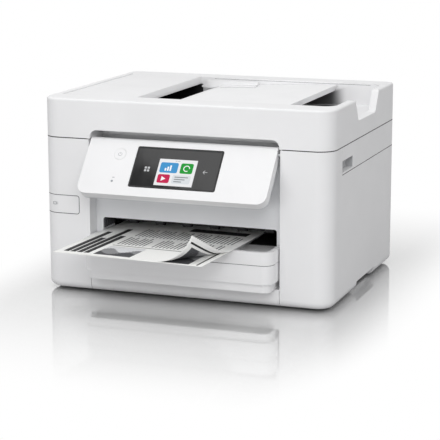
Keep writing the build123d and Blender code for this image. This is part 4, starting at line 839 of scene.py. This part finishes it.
def page_point(x, y, shift, height, roll):
    """A page point in the frame. x is 0 at the page's right edge and minus on it, y runs to the rear."""
    flat, lift = curled(x, y) if roll else (Vector((x, y)), 0.0)
    wave = WAVE_HEIGHT * (1 + math.sin(x / WAVE_X + y / WAVE_Y)) / 2 * max(0.0, 1.0 - y / WAVE_REACH)
    along = Vector((math.cos(PAGE_SKEW), -math.sin(PAGE_SKEW), 0.0))
    inward = Vector((math.sin(PAGE_SKEW), math.cos(PAGE_SKEW), 0.0))
    place = PAGE_CORNER + along * (flat.x + shift[0]) + inward * (flat.y + shift[1])
    place.z += height + lift + (wave if roll else 0.0)
    return place


def page_offset(x, y, sheet, out):
    """A page point moved off the page's face."""
    east = page_point(x + SLOPE_STEP, y, *sheet) - page_point(x - SLOPE_STEP, y, *sheet)
    north = page_point(x, y + SLOPE_STEP, *sheet) - page_point(x, y - SLOPE_STEP, *sheet)
    return page_point(x, y, *sheet) + east.cross(north).normalized() * out


def grid_faces(first, columns, rows):
    """Quads of a grid of points that starts at a given point."""
    faces = []
    for j in range(rows):
        for i in range(columns):
            a = first + j * (columns + 1) + i
            faces.append((a, a + 1, a + columns + 2, a + columns + 1))
    return faces


def thick_page(name, verts, faces, material, thickness, offset):
    """A thin piece that lies with the pages, with its thickness from a modifier."""
    obj = placed(name, verts, faces, material, smooth=True)
    solid = obj.modifiers.new("thickness", "SOLIDIFY")
    solid.thickness = thickness * MM
    solid.offset = offset
    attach(obj, "printed_sheets")
    return obj


def page_sheet(name, sheet):
    """One sheet of paper."""
    columns = round(PAGE_W / PAGE_STEP)
    rows = round(PAGE_L / PAGE_STEP)
    verts = []
    for j in range(rows + 1):
        for i in range(columns + 1):
            verts.append(page_point(-PAGE_W + PAGE_W * i / columns, PAGE_L * j / rows, *sheet))
    return thick_page(name, verts, grid_faces(0, columns, rows), FINISH["paper"], PAGE_T, offset=0.0)


def page_print(name, areas, sheet, face, layer, material):
    """Inked areas that follow a page, on its upper face for 1 and its lower face for -1."""
    verts = []
    faces = []
    out = face * (PAGE_T / 2 + INK_T * layer)
    for left, front, right, rear in areas:
        columns = max(1, math.ceil((right - left) / PAGE_STEP))
        rows = max(1, math.ceil((rear - front) / PAGE_STEP))
        quads = grid_faces(len(verts), columns, rows)
        for j in range(rows + 1):
            for i in range(columns + 1):
                x = left + (right - left) * i / columns - PAGE_W
                y = front + (rear - front) * j / rows
                verts.append(page_offset(x, y, sheet, out))
        faces += [quad if face > 0 else quad[::-1] for quad in quads]
    return thick_page(name, verts, faces, material, INK_T, offset=-1.0)


def text_bars(left, front, count, lengths):
    """Plain bars in place of written lines, running to the rear, of uneven length."""
    bars = []
    for i in range(count):
        start = left + TEXT_PITCH * i
        bars.append((start, front, start + TEXT_W, front + lengths[i % len(lengths)]))
    return bars


def hills(left, front, right, rear, height, swell, turns, start):
    """A rolling skyline in a box, cut into narrow strips."""
    count = math.ceil((right - left) / PAGE_STEP)
    width = (right - left) / count
    deep = rear - front
    strips = []
    for i in range(count):
        tall = height * deep + swell * deep * math.sin(start + math.tau * turns * i / count)
        strips.append((left + width * i, front, left + width * (i + 1), front + tall))
    return strips


def picture(box):
    """A plain landscape: a pale ground, far hills and near hills."""
    return {"pale": [box], "mid": hills(*box, *FAR_HILLS), "dark": hills(*box, *NEAR_HILLS)}


def merged(*layouts):
    """Several layouts as one, by tone."""
    return {tone: [area for layout in layouts for area in layout.get(tone, [])] for tone in INKS}


def top_page_areas():
    """Bars of a chart, a rule and a heading bar, four blocks of text and a picture."""
    chart = []
    for i, length in enumerate(CHART_LENGTHS):
        left = CHART_AT[0] + CHART_PITCH * i
        chart.append((left, CHART_AT[1], left + CHART_BAR_W, CHART_AT[1] + length))
    text = [bar for block in TEXT_BLOCKS for bar in text_bars(*block)]
    return merged({"black": chart + RULES, "dark": text}, picture(TOP_PICTURE))


def print_page(name, areas, sheet, face):
    """Prints one face of a page, each tone a layer above the one before."""
    pieces = []
    for layer, tone in enumerate(INKS, 1):
        if areas[tone]:
            pieces.append(page_print(f"{name}_{tone}", areas[tone], sheet, face, layer, INKS[tone]))
    return pieces


def printed_pages():
    """Two printed pages in the output tray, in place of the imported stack."""
    top_sheet = (TOP_SHIFT, TOP_HEIGHT, True)
    under_sheet = (UNDER_SHIFT, UNDER_HEIGHT, False)
    top = page_sheet("page_top", top_sheet)
    under = page_sheet("page_under", under_sheet)
    side_rules = {"black": SIDE_RULES}
    marks = print_page("page_top", top_page_areas(), top_sheet, 1)
    marks += print_page("page_back", merged(picture(BACK_PICTURE), side_rules), top_sheet, -1)
    low_marks = print_page("page_under", merged(picture(UNDER_PICTURE), side_rules), under_sheet, 1)
    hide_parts("printed_sheets")


# Painted shade in the paper paths, recesses and gaps, the rear sockets, and small marks on the casing
def feeder_bed():
    """Painted shade in the feeder's paper path: a dark ribbed floor turned up at the left, dark end walls and
    a dark sheet behind.
    """
    front, rear = BED_D
    cover = "document_cover"
    dark_fill("feeder_bed", [BED_UNDER + BED_TOP[::-1]], (rear, front), at_depth, cover, FADED_SHADE)
    dark_fill("feeder_wall_front", [BED_WALL], (front + BED_WALL_T, front), at_depth, cover)
    dark_fill("feeder_wall_rear", [BED_WALL], (rear, rear - BED_WALL_T), at_depth, cover)
    dark_fill("feeder_rear_shade", [WELL_SHADE_OUTLINE], WELL_SHADE_D, at_depth, cover, FADED_SHADE)
    count = int((rear - front) / BED_RIB_PITCH)
    for i in range(1, count + 1):
        depth = front + BED_RIB_PITCH * i
        dark_fill(f"feeder_rib_{i}", [BED_RIB], (depth + BED_RIB_T, depth), at_depth, cover)


def exit_shade():
    """Painted shade in the throat behind the paper exit: dark grey cheeks, ribbed at the sides, and a black
    ceiling.
    """
    front, rear = EXIT_D
    count = int((rear - front) / EXIT_RIB_PITCH)
    for side, name in ((-1, "exit_cheek_left"), (1, "exit_cheek_right")):
        near, far = sorted((side * EXIT_HALF, side * (EXIT_HALF - EXIT_CHEEK_T)))
        outlines = [box_outline(near, front, far, rear)]
        near, far = sorted(side * (EXIT_HALF - inset) for inset in EXIT_RIB_INSET)
        for i in range(count):
            start = front + EXIT_RIB_START + EXIT_RIB_PITCH * i
            outlines.append(box_outline(near, start, far, start + EXIT_RIB_W))
        dark_fill(name, outlines, EXIT_Z, at_height, "casing", EXIT_SHADE_GREY)
    ceiling = box_outline(-EXIT_HALF, front, EXIT_HALF, rear)
    dark_fill("exit_ceiling", [ceiling], (EXIT_Z[1], EXIT_TOP), at_height, "casing")


def tray_floor_shade():
    """Dark strips of painted shade on the output tray's floor between its ribs."""
    edges = (-TRAY_HALF,) + TRAY_RIBS + (TRAY_HALF,)
    outlines = [box_outline(low + TRAY_SHADE_GAP, TRAY_SHADE_D[0], high - TRAY_SHADE_GAP, TRAY_SHADE_D[1])
                for low, high in zip(edges, edges[1:])]
    dark_fill("tray_floor_shade", outlines, (TRAY_FLOOR, TRAY_FLOOR + TRAY_SHADE_T), at_height, "output_tray")


def rear_sockets():
    """Steel shells, dark walls and floors, and contact tongues in the two rear sockets."""
    x0, x1 = SOCKET_X
    x = (x0 + x1) / 2
    floor_top = SOCKET_FLOOR_D + SOCKET_T
    half_x, half_z = TONGUE_HALF
    for name, (z0, z1) in SOCKET_Z.items():
        shell, hole, wall, room = [rounded(x0 + e, z0 + e, x1 - e, z1 - e, SOCKET_R) for e in SOCKET_INSETS]
        ring(f"socket_shell_{name}", shell, hole, (SOCKET_FACE_D, SOCKET_SHELL_D), at_depth,
             FINISH["works_steel"], "casing")
        ring(f"socket_lining_{name}", wall, room, (SOCKET_FACE_D, SOCKET_FLOOR_D), at_depth,
             SHADE_AND_SOCKET_BLACK, "casing")
        dark_fill(f"socket_floor_{name}", [wall], (floor_top, SOCKET_FLOOR_D), at_depth, "casing")
        z = (z0 + z1) / 2
        tongue = rounded(x - half_x, z - half_z, x + half_x, z + half_z, SOCKET_R)
        prisms(f"socket_tongue_{name}", [tongue], (SOCKET_FLOOR_D + TONGUE_L, floor_top), at_depth,
               FINISH["gear_white"], "casing")


def lid_start(inset):
    """The lid's edge from beside the panel round the right front corner."""
    return [(LID_SHADE_X, inset)] + arc(HALF_W - FRONT_R, FRONT_R, FRONT_R - inset, -90, 0)


def unit_start(inset):
    """The scanner unit's edge on the right side, behind the front pillar."""
    return [(HALF_W - inset, UNIT_SHADE_D)]


def seam_strip(start, hinge):
    """A strip along the right edge from a start given for each inset, round the rear corner to a hinge."""
    sides = []
    for inset in SEAM_SHADE_INSET:
        corner = arc(HALF_W - REAR_R, REAR_D - REAR_R, REAR_R - inset, 0, 90)
        sides.append(start(inset) + corner + [(hinge, REAR_D - inset)])
    return sides[0] + sides[1][::-1]


def seam_shade():
    """Dark strips of painted shade in the two parting lines, broken at the hinges and at the front."""
    seams = (("lid_seam_shade", lid_start, LID_HINGE_X, LID_SHADE_Z, "document_cover"),
             ("unit_seam_shade", unit_start, UNIT_HINGE_X, UNIT_SHADE_Z, "casing"))
    for name, start, hinge, levels, body in seams:
        strip = seam_strip(start, hinge[1])
        middle = box_outline(-hinge[0], REAR_D - SEAM_SHADE_INSET[1], hinge[0], REAR_D - SEAM_SHADE_INSET[0])
        for place, outline in (("left", mirrored(strip, -1)), ("right", strip), ("rear", middle)):
            dark_fill(f"{name}_{place}", [outline], levels, at_height, body)


def lip_edge(inset):
    """The cassette front's upper edge, from its left side round both corners to its right side."""
    radius = LIP_R - inset
    centre = LIP_HALF - LIP_R
    left = arc(-centre, LIP_REACH + LIP_R, radius, 180, 270)
    right = arc(centre, LIP_REACH + LIP_R, radius, 270, 360)
    return [(inset - LIP_HALF, LIP_END)] + left + right + [(LIP_HALF - inset, LIP_END)]


def drawer_gap_shade():
    """A dark strip of painted shade on the cassette front, in its gap under the output tray."""
    strip = lip_edge(SEAM_SHADE_INSET[0]) + lip_edge(SEAM_SHADE_INSET[1])[::-1]
    dark_fill("drawer_gap_shade", [strip], LIP_SHADE_Z, at_height, "cassette")


def door_edge(inset):
    """The front door's edge from its hinge side along the top, down the right edge and back below."""
    steps = round((DOOR_ROUND - DOOR_R) / DOOR_STEP)
    run = [DOOR_ROUND + (DOOR_R - DOOR_ROUND) * i / steps for i in range(steps)]
    low, high = DOOR_Z
    points = [(u, high - inset) for u in run]
    points += arc(DOOR_R, high - DOOR_R, DOOR_R - inset, 90, 180, DOOR_ARC_STEPS)
    points += arc(DOOR_R, low + DOOR_R, DOOR_R - inset, 180, 270, DOOR_ARC_STEPS)
    return points + [(u, low + inset) for u in reversed(run)]


def door_seal():
    """A dark strip of painted shade in the gap round the front door, left open at its hinge."""
    outer, inner = [door_edge(inset) for inset in DOOR_SHADE_INSETS]
    ring("door_seal", outer, inner, DOOR_SHADE_OUT, round_corner, DOOR_SHADE_GREY, "casing",
         closed=False)


def grip_shade():
    """Painted shade in the finger recesses on both sides: grey on the back and end walls, darker on the roof.
    """
    bottom, top = GRIP_Z
    roof_under = top - GRIP_T
    back_face = GRIP_X[0] + GRIP_T
    end_face = GRIP_D[1] - GRIP_T
    back = box_outline(GRIP_X[0], GRIP_D[0], back_face, GRIP_D[1])
    end = box_outline(back_face, end_face, GRIP_X[1], GRIP_D[1])
    roof = box_outline(back_face, GRIP_D[0], GRIP_X[1], end_face)
    shade_pieces = (("grip_back", back, (bottom, roof_under), GRIP_SHADE),
               ("grip_end", end, (bottom, roof_under), GRIP_SHADE),
               ("grip_roof", roof, (roof_under, top), GRIP_DEEP_SHADE))
    for side, suffix in ((-1, "left"), (1, "right")):
        for name, outline, levels, material in shade_pieces:
            prisms(f"{name}_{suffix}", [mirrored(outline, side)], levels, at_height, material,
                   "scanner_unit")


def casing_marks():
    """A thin dark line of painted shadow along the feeder well's rear wall, and a plain socket sign on the
    front door.
    """
    prisms("well_seam_shade", [box_outline(*WELL_SEAM_SHADE)], (WELL_REAR, WELL_REAR - PRINT_T), at_depth, SEAM_SHADE_GREY,
           "document_cover")
    outer = rounded(*PORT_FRAME, PORT_FRAME_R)
    inner = rounded(*PORT_HOLE, PORT_HOLE_R)
    prongs = [stroke(*line, PORT_PRONG_W) for line in PORT_PRONGS]
    levels = (0.0, -PRINT_T)
    ring("socket_sign_frame", outer, inner, levels, at_depth, MARK_GREY, "usb_door")
    prisms("socket_sign", prongs, levels, at_depth, MARK_GREY, "usb_door")


def foam_pad():
    """The foam pad under the lid: rings of points from its top down to a rounded lower edge."""
    low, high = [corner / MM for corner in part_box("document_mat")]
    rings = [(inset, high.z + step) for inset, step in PAD_UPPER]
    rings += [(inset, low.z + step) for inset, step in PAD_LOWER]
    verts = []
    faces = []
    for inset, z in rings:
        outline = rounded(low.x + inset, low.y + inset, high.x - inset, high.y - inset, PAD_R)
        verts += [(x, y, z) for x, y in outline]
    count = len(verts) // len(rings)
    for a in range(0, count * (len(rings) - 1), count):
        for i in range(count):
            j = (i + 1) % count
            faces.append((a + j, a + i, a + count + i, a + count + j))
    faces.append(list(range(count)))
    faces.append([len(verts) - 1 - i for i in range(count)])
    obj = placed("foam_pad", verts, faces, FINISH["mat_white"])
    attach(obj, "document_cover")
    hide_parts("document_mat")


# Stage, light and camera
def mixed(tree, factor, first, second):
    """A mix of two shaders. The factor is a number or a socket."""
    node = tree.nodes.new("ShaderNodeMixShader")
    if isinstance(factor, bpy.types.NodeSocket):
        tree.links.new(factor, node.inputs["Fac"])
    else:
        node.inputs["Fac"].default_value = factor
    tree.links.new(first, node.inputs[1])
    tree.links.new(second, node.inputs[2])
    return node.outputs[0]


def vector_math(tree, operation, first, second=(0.0, 0.0, 0.0)):
    """One vector step. The second value is a constant."""
    node = tree.nodes.new("ShaderNodeVectorMath")
    node.operation = operation
    tree.links.new(first, node.inputs[0])
    node.inputs[1].default_value = second
    return node.outputs["Value"] if operation == "LENGTH" else node.outputs["Vector"]


def background_rays(tree):
    """One for rays that show the background: straight to the camera, mirrored or through glass."""
    paths = tree.nodes.new("ShaderNodeLightPath")
    seen = paths.outputs["Is Camera Ray"]
    for other in ("Is Glossy Ray", "Is Transmission Ray"):
        seen = combined(tree, "MAXIMUM", seen, paths.outputs[other])
    return seen


def away_from_footprint(tree, place):
    """Zero at the machine's footprint, rising to one where the floor is plain white."""
    offset = vector_math(tree, "SUBTRACT", place, FOOTPRINT_MIDDLE)
    offset = vector_math(tree, "ABSOLUTE", offset)
    offset = vector_math(tree, "SUBTRACT", offset, FOOTPRINT_HALF)
    offset = vector_math(tree, "MAXIMUM", offset)
    offset = vector_math(tree, "MULTIPLY", offset, FADE_STRETCH)
    return spread(tree, vector_math(tree, "LENGTH", offset), span=(0.0, FLOOR_FADE), smooth=True)


def floor():
    """A pale gloss floor that fades to plain white away from the footprint, and is dull to other light."""
    mat, tree, shader, place = new_material("studio_floor")
    cloud = spread(tree, noise(tree, place, scale=3.0))
    tinted(tree, shader, cloud, scaled(FLOOR_BOUNCE, factor=0.96), FLOOR_BOUNCE)
    shader.inputs["Roughness"].default_value = FLOOR_BOUNCE_ROUGH
    matt = tree.nodes.new("ShaderNodeBsdfDiffuse")
    matt.inputs["Color"].default_value = FLOOR_WHITE
    gloss = tree.nodes.new("ShaderNodeBsdfGlossy")
    gloss.inputs["Roughness"].default_value = FLOOR_ROUGH
    shown = mixed(tree, FLOOR_GLOSS, matt.outputs[0], gloss.outputs[0])
    camera_ray = tree.nodes.new("ShaderNodeLightPath").outputs["Is Camera Ray"]
    by_ray = mixed(tree, camera_ray, shader.outputs[0], shown)
    faded = combined(tree, "MULTIPLY", away_from_footprint(tree, place), background_rays(tree))
    white = tree.nodes.new("ShaderNodeEmission")
    white.inputs["Strength"].default_value = 1.0
    surface = mixed(tree, faded, by_ray, white.outputs[0])
    tree.links.new(surface, tree.nodes["Material Output"].inputs["Surface"])
    size = FLOOR_HALF / MM
    corners = [(x, y, 0.0) for x, y in box_outline(-size, -size, size, size)]
    obj = placed("studio_floor", corners, [(0, 1, 2, 3)], mat)
    obj.location.z = -FLOOR_DROP


def world():
    """Even light from all round, with plain white for the rays that show the background."""
    studio = bpy.data.worlds.new("studio")
    bpy.context.scene.world = studio
    studio.use_nodes = True
    tree = studio.node_tree
    tree.nodes.clear()
    skies = []
    for strength in (WORLD_LEVEL, 1.0):
        sky = tree.nodes.new("ShaderNodeBackground")
        sky.inputs["Color"].default_value = PURE_WHITE
        sky.inputs["Strength"].default_value = strength
        skies.append(sky.outputs[0])
    out = tree.nodes.new("ShaderNodeOutputWorld")
    tree.links.new(mixed(tree, background_rays(tree), *skies), out.inputs["Surface"])


def softbox(name, place, size, power):
    """A soft lamp aimed at the machine, not seen by the camera."""
    data = bpy.data.lights.new(name, "AREA")
    data.shape = "RECTANGLE"
    data.size, data.size_y = size
    data.energy = power
    obj = bpy.data.objects.new(name, data)
    obj.location = place
    obj.rotation_euler = (LIGHT_AIM - Vector(place)).to_track_quat("-Z", "Y").to_euler()
    obj.visible_camera = False
    bpy.context.scene.collection.objects.link(obj)


def camera():
    """The photograph's camera."""
    azimuth = math.radians(CAM_AZIMUTH)
    elevation = math.radians(CAM_ELEVATION)
    level = math.cos(elevation)
    back = Vector((math.sin(azimuth) * level, -math.cos(azimuth) * level, math.sin(elevation)))
    right = Vector((math.cos(azimuth), math.sin(azimuth), 0.0))
    upward = back.cross(right)
    turn = Matrix((right, upward, back)).transposed() @ Matrix.Rotation(math.radians(CAM_ROLL), 3, "Z")
    data = bpy.data.cameras.new("photo_camera")
    data.sensor_width = SENSOR
    data.lens = SENSOR * CAM_FOCAL / IMAGE
    data.shift_x = (IMAGE / 2 - CAM_CENTRE[0]) / IMAGE
    data.shift_y = (CAM_CENTRE[1] - IMAGE / 2) / IMAGE
    data.clip_start, data.clip_end = CAM_CLIP
    obj = bpy.data.objects.new("photo_camera", data)
    obj.matrix_world = Matrix.Translation(CAM_TARGET + back * CAM_DISTANCE) @ turn.to_4x4()
    bpy.context.scene.collection.objects.link(obj)
    bpy.context.scene.camera = obj


dress_nodes()
screen_marks()
key_marks()
printed_pages()
feeder_bed()
exit_shade()
tray_floor_shade()
rear_sockets()
seam_shade()
drawer_gap_shade()
door_seal()
grip_shade()
casing_marks()
foam_pad()
floor()
world()
for lamp in SOFTBOXES:
    softbox(*lamp)
camera()
bpy.context.scene.view_settings.view_transform = "Standard"
